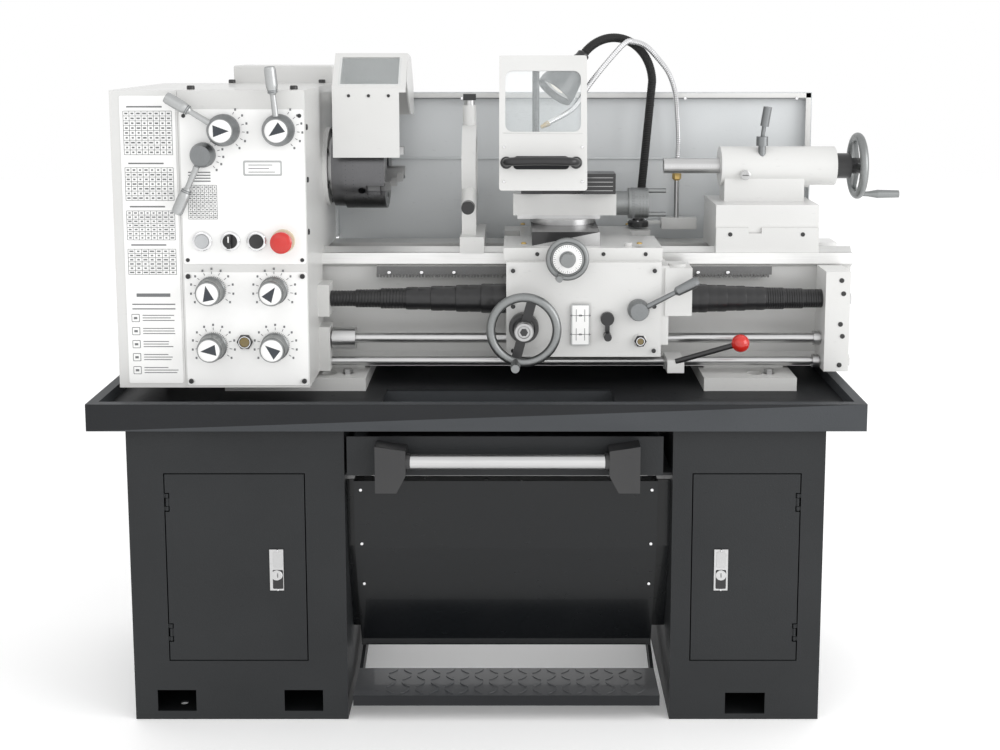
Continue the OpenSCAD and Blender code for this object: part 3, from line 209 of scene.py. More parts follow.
WHITE = enamel("cream_enamel", (0.66, 0.66, 0.65), (0.565, 0.562, 0.545), 420, 0.36, 0.16)
SPLASH = enamel("splash_enamel", (0.66, 0.68, 0.69), (0.57, 0.59, 0.60), 420, 0.38, 0.14)
SLATE = enamel("slate_hammer_enamel", (0.046, 0.050, 0.055), (0.030, 0.033, 0.036), 260, 0.5, 0.5, 0.0, 0.35)
# A darker copy of the slate enamel: painted shade for the cabinets, doors and drawer set back under the tray's
# overhang.
SLATE_CABINET_PAINTED_SHADE = enamel("cabinet_slate_painted_shade_enamel", (0.019, 0.0205, 0.022), (0.012, 0.013, 0.014), 260, 0.5, 0.5,
                       0.0, 0.3)
# A still darker copy of the slate enamel: painted shade, laid on the foot pedal, a band of the chip tray and the
# recess behind the shield handle.
SLATE_PAINTED_SHADE = enamel("slate_shadow_enamel", (0.012, 0.013, 0.015), (0.007, 0.008, 0.009), 260, 0.5, 0.4, 0.0,
                    0.3)
BLACK_GLOSS = enamel("black_gloss_enamel", (0.004, 0.005, 0.006), (0.008, 0.009, 0.010), 300, 0.2, 0.12, 0.15,
                     0.3)
TREAD = enamel("worn_tread_enamel", (0.050, 0.053, 0.058), (0.11, 0.11, 0.11), 90, 0.38, 0.3)
STEEL_X = metal("ground_steel_lengthwise", (0.62, 0.62, 0.62), 0.24, (0.3, 14, 14))
STEEL_Y = metal("ground_steel_crosswise", (0.58, 0.58, 0.58), 0.28, (14, 0.3, 14))
STEEL_TURNED = metal("turned_steel", (0.50, 0.50, 0.50), 0.22, (22, 3, 3))
DARK_STEEL = metal("dark_chuck_steel", (0.16, 0.16, 0.165), 0.20, (20, 3, 3), streak=0.2)
WAY_STEEL = metal("bed_way_steel", (0.86, 0.86, 0.85), 0.30, (0.3, 12, 12), streak=0.25)
WHEEL_GREY = metal("cast_wheel_grey", (0.30, 0.31, 0.31), 0.36, (3, 3, 3), 120, 0.12, 0.2)
ALUMINIUM = metal("cast_aluminium", (0.50, 0.51, 0.51), 0.34, (3, 3, 3), 120, 0.12, 0.2)
CHROME = metal("bright_chrome", (0.80, 0.80, 0.81), 0.07, (2, 2, 2), 30, 0.05, 0.02)
IRON = metal("grey_iron", (0.22, 0.22, 0.22), 0.5, (4, 4, 4), 120, 0.2, 0.35)
LEVER_GREY = metal("lever_grey", (0.26, 0.27, 0.275), 0.34, (4, 4, 4), 90, 0.15, 0.15)
BLACK = moulded("black_plastic", (0.012, 0.012, 0.013), 0.32, coat=0.15)
BLACK_SATIN = enamel("black_satin_enamel", (0.014, 0.014, 0.015), (0.028, 0.028, 0.028), 300, 0.34, 0.2)
RUBBER = moulded("black_rubber", (0.010, 0.010, 0.010), 0.62, 300, 0.3)
RED = moulded("red_plastic", (0.55, 0.018, 0.012), 0.22, coat=0.5)
BEIGE = moulded("beige_collar", (0.62, 0.53, 0.38), 0.4)
PALE_GREY = moulded("pale_grey_plastic", (0.45, 0.46, 0.47), 0.35)
LABEL = moulded("label_white", (0.86, 0.86, 0.85), 0.35, 200, 0.04)
INK = moulded("label_ink", (0.16, 0.165, 0.17), 0.5, 200, 0.04)
ARROW = moulded("arrow_slate", (0.030, 0.036, 0.045), 0.4)
BRASS = metal("brass", (0.62, 0.44, 0.17), 0.25, (5, 5, 5), 60)
OIL = moulded("oil_glass", (0.16, 0.11, 0.02), 0.08, coat=0.8)
WINDOW = pane("guard_window", (0.80, 0.85, 0.86), 0.16)
BULB = glow("frosted_bulb", (1.0, 0.95, 0.85), 0.4)
REFLECTOR = enamel("lamp_reflector", (0.75, 0.76, 0.77), (0.6, 0.6, 0.6), 300, 0.2, 0.05)

SLOT_OF = {s["node"]: s["material_slot"] for s in frame["record"]["subparts"]}
SLOT_LOOK = {
    "white_paint": WHITE, "slate_paint": SLATE, "steel": STEEL_X, "iron": WHITE, "black": LEVER_GREY,
    "black_steel": BLACK_SATIN, "white_plastic": PALE_GREY, "red": RED, "chrome": CHROME,
}
NODE_LOOK = {
    "splash_guard": SPLASH, "knee_panel": BLACK_GLOSS, "motor_drive": IRON, "chuck_body": DARK_STEEL,
    "spindle": STEEL_TURNED, "quill": STEEL_X, "carriage_wheel": BLACK, "cross_wheel": WHEEL_GREY,
    "tailstock_wheel": WHEEL_GREY, "mode_switch": BLACK, "start_button": BLACK, "cross_slide": STEEL_Y,
    "feed_knob_1": WHITE, "feed_knob_2": WHITE, "feed_knob_3": WHITE, "feed_knob_4": WHITE,
    # The foot pedal takes the darker slate shadow enamel: painted shade.
    "feed_lever": BLACK, "top_slide": WHITE, "tool_post": BLACK_SATIN, "foot_pedal": SLATE_PAINTED_SHADE,
    # Cabinets, doors and drawer take the darker slate: painted shade under the tray's overhang.
    "left_cabinet": SLATE_CABINET_PAINTED_SHADE, "right_cabinet": SLATE_CABINET_PAINTED_SHADE,
    "left_door": SLATE_CABINET_PAINTED_SHADE, "right_door": SLATE_CABINET_PAINTED_SHADE, "chip_drawer": SLATE_CABINET_PAINTED_SHADE,
    "top_wheel": WHEEL_GREY,
}
for node, thing in frame["nodes"].items():
    thing.data.materials.clear()
    thing.data.materials.append(NODE_LOOK.get(node, SLOT_LOOK[SLOT_OF[node]]))


# ------------------------------------------------------------------ making pieces

class Box:
    """The place of a CAD node in millimetres."""

    def __init__(self, node):
        low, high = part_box(node)
        self.x0, self.y0, self.z0 = (c / MM for c in low)
        self.x1, self.y1, self.z1 = (c / MM for c in high)
        self.x = (self.x0 + self.x1) / 2
        self.y = (self.y0 + self.y1) / 2
        self.z = (self.z0 + self.z1) / 2


class Piece:
    """A mesh gathered from simple rounded shapes, all in millimetres."""

    def __init__(self, name, look):
        self.name = name
        self.looks = [look]
        self.mesh = bmesh.new()

    def take(self, part, look=None, smooth=False):
        """Gathers a shape in, with its finish, and frees it."""
        if look is not None and look not in self.looks:
            self.looks.append(look)
        slot = self.looks.index(look) if look is not None else 0
        for face in part.faces:
            face.material_index = slot
            face.smooth = smooth
        spare = bpy.data.meshes.new("spare")
        part.to_mesh(spare)
        part.free()
        self.mesh.from_mesh(spare)
        bpy.data.meshes.remove(spare)
        return self

    def box(self, low, high, edge=0.4, look=None, turn=None):
        part = bmesh.new()
        bmesh.ops.create_cube(part, size=1)
        size = [abs(b - a) for a, b in zip(low, high)]
        middle = [(a + b) / 2 for a, b in zip(low, high)]
        bmesh.ops.scale(part, vec=size, verts=part.verts)
        edge = min(edge, min(size) * 0.4)
        bmesh.ops.bevel(part, geom=part.edges[:], offset=edge, segments=2, affect="EDGES", profile=0.5)
        if turn is not None:
            bmesh.ops.transform(part, matrix=turn, verts=part.verts)
        bmesh.ops.translate(part, vec=middle, verts=part.verts)
        return self.take(part, look)

    def turned(self, outline, at, axis="z", steps=40, look=None, smooth=True):
        """Spins an outline of (radius, height) pairs about an axis through `at`."""
        part = bmesh.new()
        rings = []
        for radius, height in outline:
            if radius < 1e-6:
                rings.append([part.verts.new((0, 0, height))])
            else:
                spots = [(radius * math.cos(a), radius * math.sin(a), height) for a in around(steps)]
                rings.append([part.verts.new(spot) for spot in spots])
        for low, high in zip(rings, rings[1:]):
            for i in range(steps):
                j = (i + 1) % steps
                loop = [low[i % len(low)], low[j % len(low)], high[j % len(high)], high[i % len(high)]]
                corners = list(dict.fromkeys(loop))
                if len(corners) > 2:
                    part.faces.new(corners)
        bmesh.ops.recalc_face_normals(part, faces=part.faces)
        bmesh.ops.transform(part, matrix=AXES[axis], verts=part.verts)
        bmesh.ops.translate(part, vec=at, verts=part.verts)
        return self.take(part, look, smooth)

    def rod(self, radius, start, end, look=None, steps=32, edge=None):
        """A round bar with chamfered ends between two points."""
        start, end = Vector(start), Vector(end)
        length = (end - start).length
        e = min(radius * 0.12, 1.0) if edge is None else edge
        outline = [(0, 0), (radius - e, 0), (radius, e), (radius, length - e), (radius - e, length),
                   (0, length)]
        part = Piece("spare", self.looks[0])
        part.turned(outline, (0, 0, 0), steps=steps)
        turn = (end - start).to_track_quat("Z", "Y").to_matrix().to_4x4()
        part.move(Matrix.Translation(start) @ turn)
        return self.take(part.mesh, look, True)

    def tube_path(self, points, radius, look=None, steps=20, ripple=0.0, pitch=1):
        """A round section carried along a list of points; ripple alternates the radius along it."""
        part = bmesh.new()
        rings = []
        side = Vector((0.3, 1, 0.1)).normalized()
        for i, point in enumerate(points):
            ahead = Vector(points[min(i + 1, len(points) - 1)])
            behind = Vector(points[max(i - 1, 0)])
            along = (ahead - behind).normalized()
            side = (side - along * side.dot(along)).normalized()
            across = along.cross(side)
            r = radius(i / (len(points) - 1)) if callable(radius) else radius
            r += ripple * (0.5 if (i // pitch) % 2 else -0.5)
            ring = []
            for a in around(steps):
                ring.append(part.verts.new(Vector(point) + (side * math.cos(a) + across * math.sin(a)) * r))
            rings.append(ring)
        for low, high in zip(rings, rings[1:]):
            for k in range(steps):
                j = (k + 1) % steps
                part.faces.new((low[k], low[j], high[j], high[k]))
        part.faces.new(list(reversed(rings[0])))
        part.faces.new(rings[-1])
        return self.take(part, look, True)

    def plate(self, outline, axis, low, high, look=None, edge=0.3):
        """A flat outline given in the two other axes, made thick from low to high along `axis`."""
        part = bmesh.new()
        order = {"x": lambda a, b, c: (c, a, b), "y": lambda a, b, c: (a, c, b), "z": lambda a, b,
                 c: (a, b, c)}
        spot = order[axis]
        bottom = [part.verts.new(spot(a, b, low)) for a, b in outline]
        top = [part.verts.new(spot(a, b, high)) for a, b in outline]
        part.faces.new(bottom)
        part.faces.new(list(reversed(top)))
        count = len(outline)
        for i in range(count):
            j = (i + 1) % count
            part.faces.new((bottom[i], bottom[j], top[j], top[i]))
        bmesh.ops.recalc_face_normals(part, faces=part.faces)
        if edge:
            rim = [e for e in part.edges if len({round(v.co["xyz".index(axis)], 4) for v in e.verts}) == 1]
            bmesh.ops.bevel(part, geom=rim, offset=min(edge, abs(high - low) * 0.4), segments=1,
                            affect="EDGES")
        return self.take(part, look)

    def move(self, matrix):
        bmesh.ops.transform(self.mesh, matrix=matrix, verts=self.mesh.verts)

    def add(self, other):
        """Takes over the shapes and finishes of another piece."""
        self.looks += [look for look in other.looks if look not in self.looks]
        for face in other.mesh.faces:
            face.material_index = self.looks.index(other.looks[face.material_index])
        spare = bpy.data.meshes.new("spare")
        other.mesh.to_mesh(spare)
        self.mesh.from_mesh(spare)
        bpy.data.meshes.remove(spare)

    def done(self, body):
        """Turns the gathered shapes into an object that moves with a body."""
        data = bpy.data.meshes.new(self.name)
        bmesh.ops.scale(self.mesh, vec=(MM, MM, MM), verts=self.mesh.verts)
        self.mesh.to_mesh(data)
        self.mesh.free()
        for look in self.looks:
            data.materials.append(look)
        thing = bpy.data.objects.new(self.name, data)
        bpy.context.scene.collection.objects.link(thing)
        data.set_sharp_from_angle(angle=math.radians(38))
        if body is not None:
            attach(thing, body)
        return thing


AXES = {
    "z": Matrix.Identity(4),
    "x": Matrix.Rotation(math.radians(90), 4, "Y"),
    "front": Matrix.Rotation(math.radians(90), 4, "X"),
    "-x": Matrix.Rotation(math.radians(-90), 4, "Y"),
    "-z": Matrix.Rotation(math.radians(180), 4, "X"),
    "rear": Matrix.Rotation(math.radians(-90), 4, "X"),
}


def around(count):
    """Angles evenly spaced round a full turn."""
    return [2 * math.pi * i / count for i in range(count)]


def rounded(x0, x1, z0, z1, r, steps=6):
    """The outline of a rectangle with rounded corners."""
    points = []
    for cx, cz, start in ((x1 - r, z1 - r, 0), (x0 + r, z1 - r, 90), (x0 + r, z0 + r, 180),
                          (x1 - r, z0 + r, 270)):
        for i in range(steps + 1):
            a = math.radians(start + 90 * i / steps)
            points.append((cx + r * math.cos(a), cz + r * math.sin(a)))
    return points


def socket_screw(piece, at, axis, r=4, h=3, look=None):
    """A round-headed screw with a hexagon socket."""
    piece.turned([(r, -0.5), (r, h * 0.7), (r * 0.85, h), (r * 0.5, h), (r * 0.5, h * 0.35), (0, h * 0.35)],
                 at, axis,
                 20, look)


def pan_screw(piece, at, axis, r=3.5, look=None):
    """A low domed screw."""
    piece.turned([(r, -0.3), (r, 0.5), (r * 0.8, 1.5), (r * 0.35, 1.9), (0, 1.5)], at, axis, 18, look)


# ------------------------------------------------------------------ headstock

head = Box("headstock")
lid = Box("headstock_lid")
gearbox = Box("feed_gearbox")
cover = Box("end_cover")
FRONT = lid.y0
AXIS_Y = Box("quill").y
AXIS_Z = Box("quill").z


def ruled_table(piece, x0, x1, z0, z1, rows, cols, y, ink, gap=0):
    """A printed table: a ruled frame with short bars where the figures would be."""
    line = 0.8
    lift = y - 0.25
    for i in range(rows + 1):
        z = z0 + (z1 - z0) * i / rows
        piece.box((x0, lift, z - line / 2), (x1, y + 0.3, z + line / 2), 0.05, ink)
    for i in range(cols + 1):
        x = x0 + (x1 - x0) * i / cols
        piece.box((x - line / 2, lift, z0), (x + line / 2, y + 0.3, z1), 0.05, ink)
    for i in range(rows):
        for j in range(cols):
            cx = x0 + (x1 - x0) * (j + 0.5) / cols
            cz = z0 + (z1 - z0) * (i + 0.5) / rows
            w = (x1 - x0) / cols * random.uniform(0.15, 0.32)
            h = (z1 - z0) / rows * 0.17
            piece.box((cx - w, lift, cz - h), (cx + w, y + 0.3, cz + h), 0.05, ink)


def end_cover_plate():
    """The tall printed plate on the front of the change-gear cover."""
    plate = Piece("end_cover_label_plate", LABEL)
    x0, x1 = cover.x0 + 17, Box("headstock").x0 - 4
    z0, z1 = cover.z0 + 8, cover.z1 - 9
    plate.plate(rounded(x0, x1, z0, z1, 3), "y", FRONT - 1.0, FRONT + 0.2)
    for top, height, rows, cols in ((z1 - 26, 74, 9, 8), (z1 - 122, 56, 7, 8), (z1 - 196, 50, 7, 8),
                                    (z1 - 262, 44, 6, 7)):
        ruled_table(plate, x0 + 6, x1 - 6, top - height, top, rows, cols, FRONT - 1.0, INK)
        plate.box((x0 + 12, FRONT - 1.3, top + 6), (x1 - 22, FRONT - 0.6, top + 8.5), 0.1, INK)
    plate.box((x0 + 18, FRONT - 1.3, z0 + 152), (x1 - 18, FRONT - 0.6, z0 + 158), 0.1, INK)
    for i in range(2):
        plate.box((x0 + 10, FRONT - 1.3, z0 + 138 - i * 8), (x1 - 10, FRONT - 0.6, z0 + 140 - i * 8), 0.1,
                  INK)
    for i in range(5):
        z = z0 + 16 + i * 23
        plate.plate(rounded(x0 + 8, x0 + 22, z, z + 14, 1.5), "y", FRONT - 1.4, FRONT - 0.6, INK)
        plate.plate(rounded(x0 + 9, x0 + 21, z + 1, z + 13, 1.2), "y", FRONT - 1.6, FRONT - 0.8, LABEL)
        plate.box((x0 + 12, FRONT - 1.9, z + 5), (x0 + 18, FRONT - 1, z + 9), 0.2, INK)
        for k in range(3):
            end = x1 - random.uniform(8, 26)
            plate.box((x0 + 27, FRONT - 1.3, z + 2 + k * 4.5), (end, FRONT - 0.6, z + 3.4 + k * 4.5), 0.1,
                      INK)
    plate.done("end_cover")


def head_plates():
    """The white front plates of the headstock and gearbox with their corner screws."""
    x0, x1 = head.x0 + 3, lid.x1 - 2
    plate = Piece("head_front_plate", LABEL)
    ring = rounded(x0, x1, head.z0 + 9, lid.z0 - 1, 4)
    plate.plate(ring, "y", FRONT - 1.2, FRONT + 0.2)
    ruled_table(plate, x0 + 11, x0 + 60, AXIS_Z - 66, AXIS_Z - 8, 9, 7, FRONT - 1.2, INK)
    for i in range(4):
        plate.box((x0 + 12, FRONT - 1.5, AXIS_Z - 2 + i * 5), (x0 + 50, FRONT - 0.8, AXIS_Z + i * 5), 0.1,
                  INK)
    name_x, name_z = x1 - 104, AXIS_Z + 8
    plate.plate(rounded(name_x, name_x + 66, name_z, name_z + 26, 3), "y", FRONT - 1.8, FRONT - 0.9,
                ALUMINIUM)
    plate.plate(rounded(name_x + 3, name_x + 63, name_z + 3, name_z + 23, 2), "y", FRONT - 2.1, FRONT - 1.2,
                LABEL)
    for i in range(3):
        end = name_x + (54, 44, 50)[i]
        plate.box((name_x + 9, FRONT - 2.4, name_z + 6 + i * 6), (end, FRONT - 1.5, name_z + 7.2 + i * 6),
                  0.1, INK)
    for x in (x0 + 7, x1 - 7):
        for z in (head.z0 + 16, lid.z0 - 12):
            pan_screw(plate, (x, FRONT - 1.2, z), "front", look=BLACK)
    plate.done("stand")
    lower = Piece("gearbox_front_plate", LABEL)
    lower.plate(rounded(x0, x1, gearbox.z0 + 4, gearbox.z1 - 5, 4), "y", FRONT - 1.0, FRONT + 0.2)
    for x in (x0 + 7, x1 - 7):
        for z in (gearbox.z0 + 12, gearbox.z1 - 12):
            socket_screw(lower, (x, FRONT - 2.8, z), "front", 4.3, 2, BLACK)
    lower.done("stand")


def dial_marks(piece, x, z, r, marks, y, span=(200, -20), look=INK):
    """Short printed strokes round a knob or hub, with a bar where a figure would stand."""
    for i in range(marks):
        a = math.radians(span[0] + (span[1] - span[0]) * i / (marks - 1))
        turn = Matrix.Rotation(-a, 4, "Y")
        cx, cz = x + r * math.cos(a), z + r * math.sin(a)
        piece.box((cx - 2.2, y - 0.3, cz - 0.5), (cx + 2.2, y + 0.3, cz + 0.5), 0.1, look, turn)
        cx, cz = x + (r + 7) * math.cos(a), z + (r + 7) * math.sin(a)
        piece.box((cx - 1.6, y - 0.3, cz - 1.9), (cx + 1.6, y + 0.3, cz + 1.9), 0.3, look)


def arrow_face(name, body, x, y, z, r, angle, length=0.74, rim=WHEEL_GREY):
    """A white disc with a slate arrowhead, on the front of a knob or lever hub."""
    face = Piece(name, LABEL)
    face.turned([(r, 0), (r, 1.0), (r - 0.8, 1.6), (0, 1.6)], (x, y, z), "front", 48)
    tip, back = r * length, r * 0.62
    a = math.radians(angle)
    spots = [(tip, 0), (-back, r * 0.5), (-back * 0.95, -r * 0.5)]
    outline = [(x + p * math.cos(a) - q * math.sin(a), z + p * math.sin(a) + q * math.cos(a)) for p,
               q in spots]
    face.plate(outline, "y", y - 2.1, y - 1.2, ARROW, 0.1)
    face.turned([(r - 0.4, 0), (r + 1.2, 0), (r + 1.0, 1.8), (r - 0.6, 2.0)], (x, y, z), "front", 48, rim)
    face.done(body)


def lever_dress(node, x, y, z, hub_r, hub_h, angle, length, tilt, face_angle=None):
    """Steel rod, cast grip and hub detail laid over one of the long levers."""
    dress = Piece(node + "_detail", LEVER_GREY)
    dress.turned([(hub_r + 0.3, -hub_h * 0.44), (hub_r + 0.3, -hub_h * 0.1), (hub_r - 0.4, 0.3), (0, 0.3)],
                 (x, y - hub_h * 0.45, z), "front", 56, LEVER_GREY)
    a = math.radians(angle)
    t = math.radians(tilt)
    start = Vector((x, y - hub_h * 0.55, z))
    along = Vector((math.cos(a) * math.cos(t), -math.sin(t), math.sin(a) * math.cos(t)))
    points = [start + along * length * s for s in (0.2, 0.4, 0.58)]
    dress.tube_path(points, lambda s: 5.4 - 0.7 * s, ALUMINIUM)
    count = 24
    grip = [start + along * length * (0.56 + 0.435 * i / count) for i in range(count + 1)]
    shape = lambda s: 4.9 + 5.1 * min(1, s * 3.2) ** 0.6 - (2.6 * max(0, s - 0.9) * 10) ** 1.4 * 0.3
    dress.tube_path(grip, shape, ALUMINIUM)
    for s in (0.60, 0.63):
        ring = start + along * length * s
        dress.tube_path([ring - along * 0.9, ring + along * 0.9], 8.6, LEVER_GREY)
    dress.done(node)
    if face_angle is not None:
        arrow_face(node + "_face", node, x, y - hub_h - 0.2, z, hub_r * 0.74, face_angle)


def hub_of(node):
    """The pivot of the hinge that carries a node, in millimetres."""
    for joint in frame["joints"]:
        if joint["child"] == node:
            return [c / MM for c in joint["pos_m"]]
    raise ValueError(node)


def head_controls():
    """Levers, knobs, buttons and their printed surrounds."""
    marks = Piece("head_dial_marks", INK)
    for node, angle, hub_r, hub_h, face in (("speed_lever_left", 148, 27, 30, 0),
                                            ("speed_lever_right", 95, 27, 30, 215),
                                            ("range_lever", 246, 21, 26, None)):
        x, y, z = hub_of(node)
        lever_dress(node, x, y, z, hub_r, hub_h, angle, LEVER_LENGTH, LEVER_TILT, face)
        dial_marks(marks, x, z, hub_r + 6, 6, FRONT - 1.4, (60, -50))
    for number, angle in ((1, 100), (2, 55), (3, 185), (4, 140)):
        node = f"feed_knob_{number}"
        x, y, z = hub_of(node)
        ring = Piece(node + "_ring", WHEEL_GREY)
        ring.turned([(24.4, 0.2), (24.6, 3), (24.4, 10.5), (22.6, 12.4), (22.3, 30), (21.9, 34.5),
                     (19.2, 38.2)], (x, y - 0.3, z), "front", 64)
        for a in around(48):
            cx, cz = x + 24.5 * math.cos(a), z + 24.5 * math.sin(a)
            ring.box((cx - 0.5, y - 8.5, cz - 0.5), (cx + 0.5, y - 2, cz + 0.5), 0.15, LABEL)
        ring.done(node)
        arrow_face(node + "_face", node, x, y - 38.3, z, 19.4, angle)
        dial_marks(marks, x, z, 30, 11, FRONT - 1.2, (215, -35))
    marks.done("stand")
    collars = Piece("button_collars", CHROME)
    for node in ("jog_button", "mode_switch", "start_button", "stop_button"):
        b = Box(node)
        look = BEIGE if node == "stop_button" else CHROME
        grow = 3.5 if node == "stop_button" else 0
        collars.turned([(12.6, -6), (12.6, 1.4), (15, 1.4), (16.4 + grow, 0.4), (17.0 + grow, -2),
                        (17.0 + grow, -6)],
                       (b.x, FRONT - 5.3, b.z), "front", 48, look)
    collars.done("stand")
    jog = Box("jog_button")
    cap = Piece("jog_button_cap", PALE_GREY)
    cap.turned([(11.6, 0), (11.6, 0.4), (10.4, 0.9), (9.4, 0.5), (0, 0.2)], (jog.x, jog.y0, jog.z), "front",
               40)
    cap.done("jog_button")
    start = Box("start_button")
    cap = Piece("start_button_cap", BLACK)
    cap.turned([(11.6, 0), (11.6, 0.4), (10.4, 0.9), (9.4, 0.3), (0, 0.1)], (start.x, start.y0, start.z),
               "front", 40)
    cap.done("start_button")
    switch = Box("mode_switch")
    pointer = Piece("mode_switch_pointer", LABEL)
    pointer.box((switch.x - 1, switch.y0 - 0.4, switch.z), (switch.x + 1, switch.y0 + 0.4, switch.z + 10),
                0.2)
    pointer.box((switch.x - 3.3, switch.y0 - 0.1, switch.z - 10.5),
                (switch.x + 3.3, switch.y0 + 9, switch.z + 10.8), 1.4,
                BLACK)
    pointer.done("mode_switch")
    stop = Box("stop_button")
    cap = Piece("stop_button_cap", RED)
    cap.turned([(12, -8.5), (18.6, -9.5), (19.0, -7.5), (18.4, -3.4), (14, 0), (8, 1.0), (0, 1.2)],
               (stop.x, stop.y0 + 1.2, stop.z), "front", 56)
    cap.done("stop_button")


def sight_glass(piece, x, y, z, r):
    """A round oil sight glass in a hexagonal black ring with a chrome bezel."""
    piece.turned([(r, 0), (r, 3), (r - 2, 5.2), (r - 4.5, 5.2), (r - 4.5, 3.4)], (x, y, z), "front", 6,
                 BLACK_SATIN, False)
    piece.turned([(r - 3.2, 4.2), (r - 3.6, 5.6), (r - 4.8, 5.6)], (x, y, z), "front", 36, CHROME)
    piece.turned([(r - 4.3, 4.0), (r * 0.3, 4.6), (0, 4.7)], (x, y, z), "front", 36, OIL)


def head_details():
    """Lid gasket, screws and sight glass of the head; knobs, vents and bar hole of the end cover."""
    trim = Piece("head_trim", WHITE)
    sight_glass(trim, head.x0 + 105, FRONT - 4.6, gearbox.z0 + 82, 14)
    trim.box((lid.x0 + 1, lid.y0 + 1, lid.z0 - 1.2), (lid.x1 - 1, lid.y1 - 1, lid.z0 + 1.0), 0.3, BLACK)
    for x in (lid.x0 + 20, lid.x1 - 20):
        for y in (lid.y0 + 16, lid.y1 - 16):
            socket_screw(trim, (x, y, lid.z1 - 4.5), "z", 6.8, 6, BLACK_SATIN)
    for i in range(3):
        z = AXIS_Z - 90 + i * 90
        socket_screw(trim, (lid.x1 - 0.5, lid.y0 + 14, z), "x", 5, 3, BLACK_SATIN)
    for k in range(6):
        a = math.radians(60 * k + 30)
        spot = (lid.x1 + 7.2, AXIS_Y + 66 * math.cos(a), AXIS_Z + 66 * math.sin(a))
        socket_screw(trim, spot, "x", 4.5, 2.5, BLACK_SATIN)
    trim.done("stand")
    door = Piece("end_cover_trim", BLACK_SATIN)
    for z in (cover.z0 + 60, cover.z1 - 60):
        door.turned([(13, 0), (13, 3), (11, 5), (4, 5), (4, 3), (0, 3)], (cover.x0 + 0.6, FRONT + 60, z),
                    "-x", 32, BLACK)
    for i in range(9):
        z = cover.z0 + 70 + i * 9
        door.box((cover.x0 - 0.4, AXIS_Y - 60, z), (cover.x0 + 0.8, AXIS_Y + 30, z + 3.2), 0.4, BLACK)
    door.turned([(27, -0.5), (27, 0.8), (25, 1.2), (25, -0.5)], (cover.x0 + 0.8, AXIS_Y, AXIS_Z), "-x", 48,
                BLACK)
    door.done("end_cover")


def electrical_box():
    """The box behind the headstock: shell, screwed cover with louvres, cable gland and hinge leaves."""
    case_box = Box("electrical_box")
    left = case_box.x0 + 29
    low = head.z0 + 60
    back = case_box.y1 - 4.4
    hinge_x, hinge_y, _ = hub_of("end_cover")
    case = Piece("electrical_box_case", WHITE)
    case.box((left, case_box.y0, low), (case_box.x1, back, case_box.z1), 3)
    case.box((left + 8, back - 1, low + 8), (case_box.x1 - 8, back + 2.4, case_box.z1 - 8), 1.2)
    case.turned([(0, -1), (16, -1), (16, 16), (14, 18), (12, 22), (9, 23), (9, 19), (0, 19)],
                (left, case_box.y0 + 56, head.z0 + 100), "-x", 32, BLACK)
    for z in (gearbox.z0 + 90, head.z1 - 90):
        for end in (-34, 20.5):
            case.rod(5, (hinge_x, hinge_y, z + end), (hinge_x, hinge_y, z + end + 13.5))
            case.box((hinge_x, case_box.y0, z + end), (left + 1, case_box.y0 + 5, z + end + 13.5), 0.6)
    for low_end, high_end in ((gearbox.z0 + 56, gearbox.z0 + 124), (head.z1 - 124, head.z1 - 56)):
        case.rod(2.5, (hinge_x, hinge_y, low_end), (hinge_x, hinge_y, high_end), STEEL_X)
    case.box((left, case_box.y0, gearbox.z0 + 40), (left + 12, case_box.y0 + 5, low + 1), 0.6)
    case = case.done("stand")
    rear = Piece("electrical_box_trim", BLACK_SATIN)
    for x in (left + 18, case_box.x1 - 18):
        for z in (low + 18, (low + case_box.z1) / 2, case_box.z1 - 18):
            pan_screw(rear, (x, back + 2.4, z), "rear", 4)
    for i in range(12):
        z = low + 34 + i * 8
        rear.box((left + 50, back + 1, z), (case_box.x1 - 50, back + 2.7, z + 3), 0.2)
    rear.done("stand")
    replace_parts(case, "electrical_box")


end_cover_plate()
head_plates()
head_controls()
head_details()
electrical_box()


# ------------------------------------------------------------------ finishes on the CAD pieces

def paint(node, look, chosen):
    """Gives a finish to the faces of a CAD node whose middle, in millimetres, passes a test."""
    thing = frame["nodes"][node]
    mesh = thing.data
    if mesh.materials.find(look.name) < 0:
        mesh.materials.append(look)
    slot = mesh.materials.find(look.name)
    for face in mesh.polygons:
        x, y, z = (c / MM for c in thing.matrix_world @ face.center)
        if chosen(x, y, z):
            face.material_index = slot


stand_top = Box("left_cabinet").z1
handle_z = stand_top - 50
door_pulls = (("left_door", Box("left_door").x1 - 48), ("right_door", Box("right_door").x0 + 50))
door_face = -216.8
tray = Box("chip_tray")
bed = Box("bed")
saddle = Box("saddle")
apron = Box("apron")
ways_z = saddle.z0
bed_front = AXIS_Y - 93.5
rod_y = Box("leadscrew").y
wheel = Box("carriage_wheel")
cross_dial = Box("cross_wheel")
cross_x = cross_dial.x
swivel_z = Box("swivel_base").z0
slide_y = AXIS_Y - 13
apron_front = apron.y0
ball = Vector((Box("start_lever").x1 - 16, Box("start_lever").y0 + 16, Box("start_lever").z1 - 16))
shield_pivot = Vector((0, AXIS_Y - 96, AXIS_Z + 191))
tail_wheel = Box("tailstock_wheel")


def away(y, z, y0, z0):
    """Distance in the Y-Z plane."""
    return math.hypot(y - y0, z - z0)


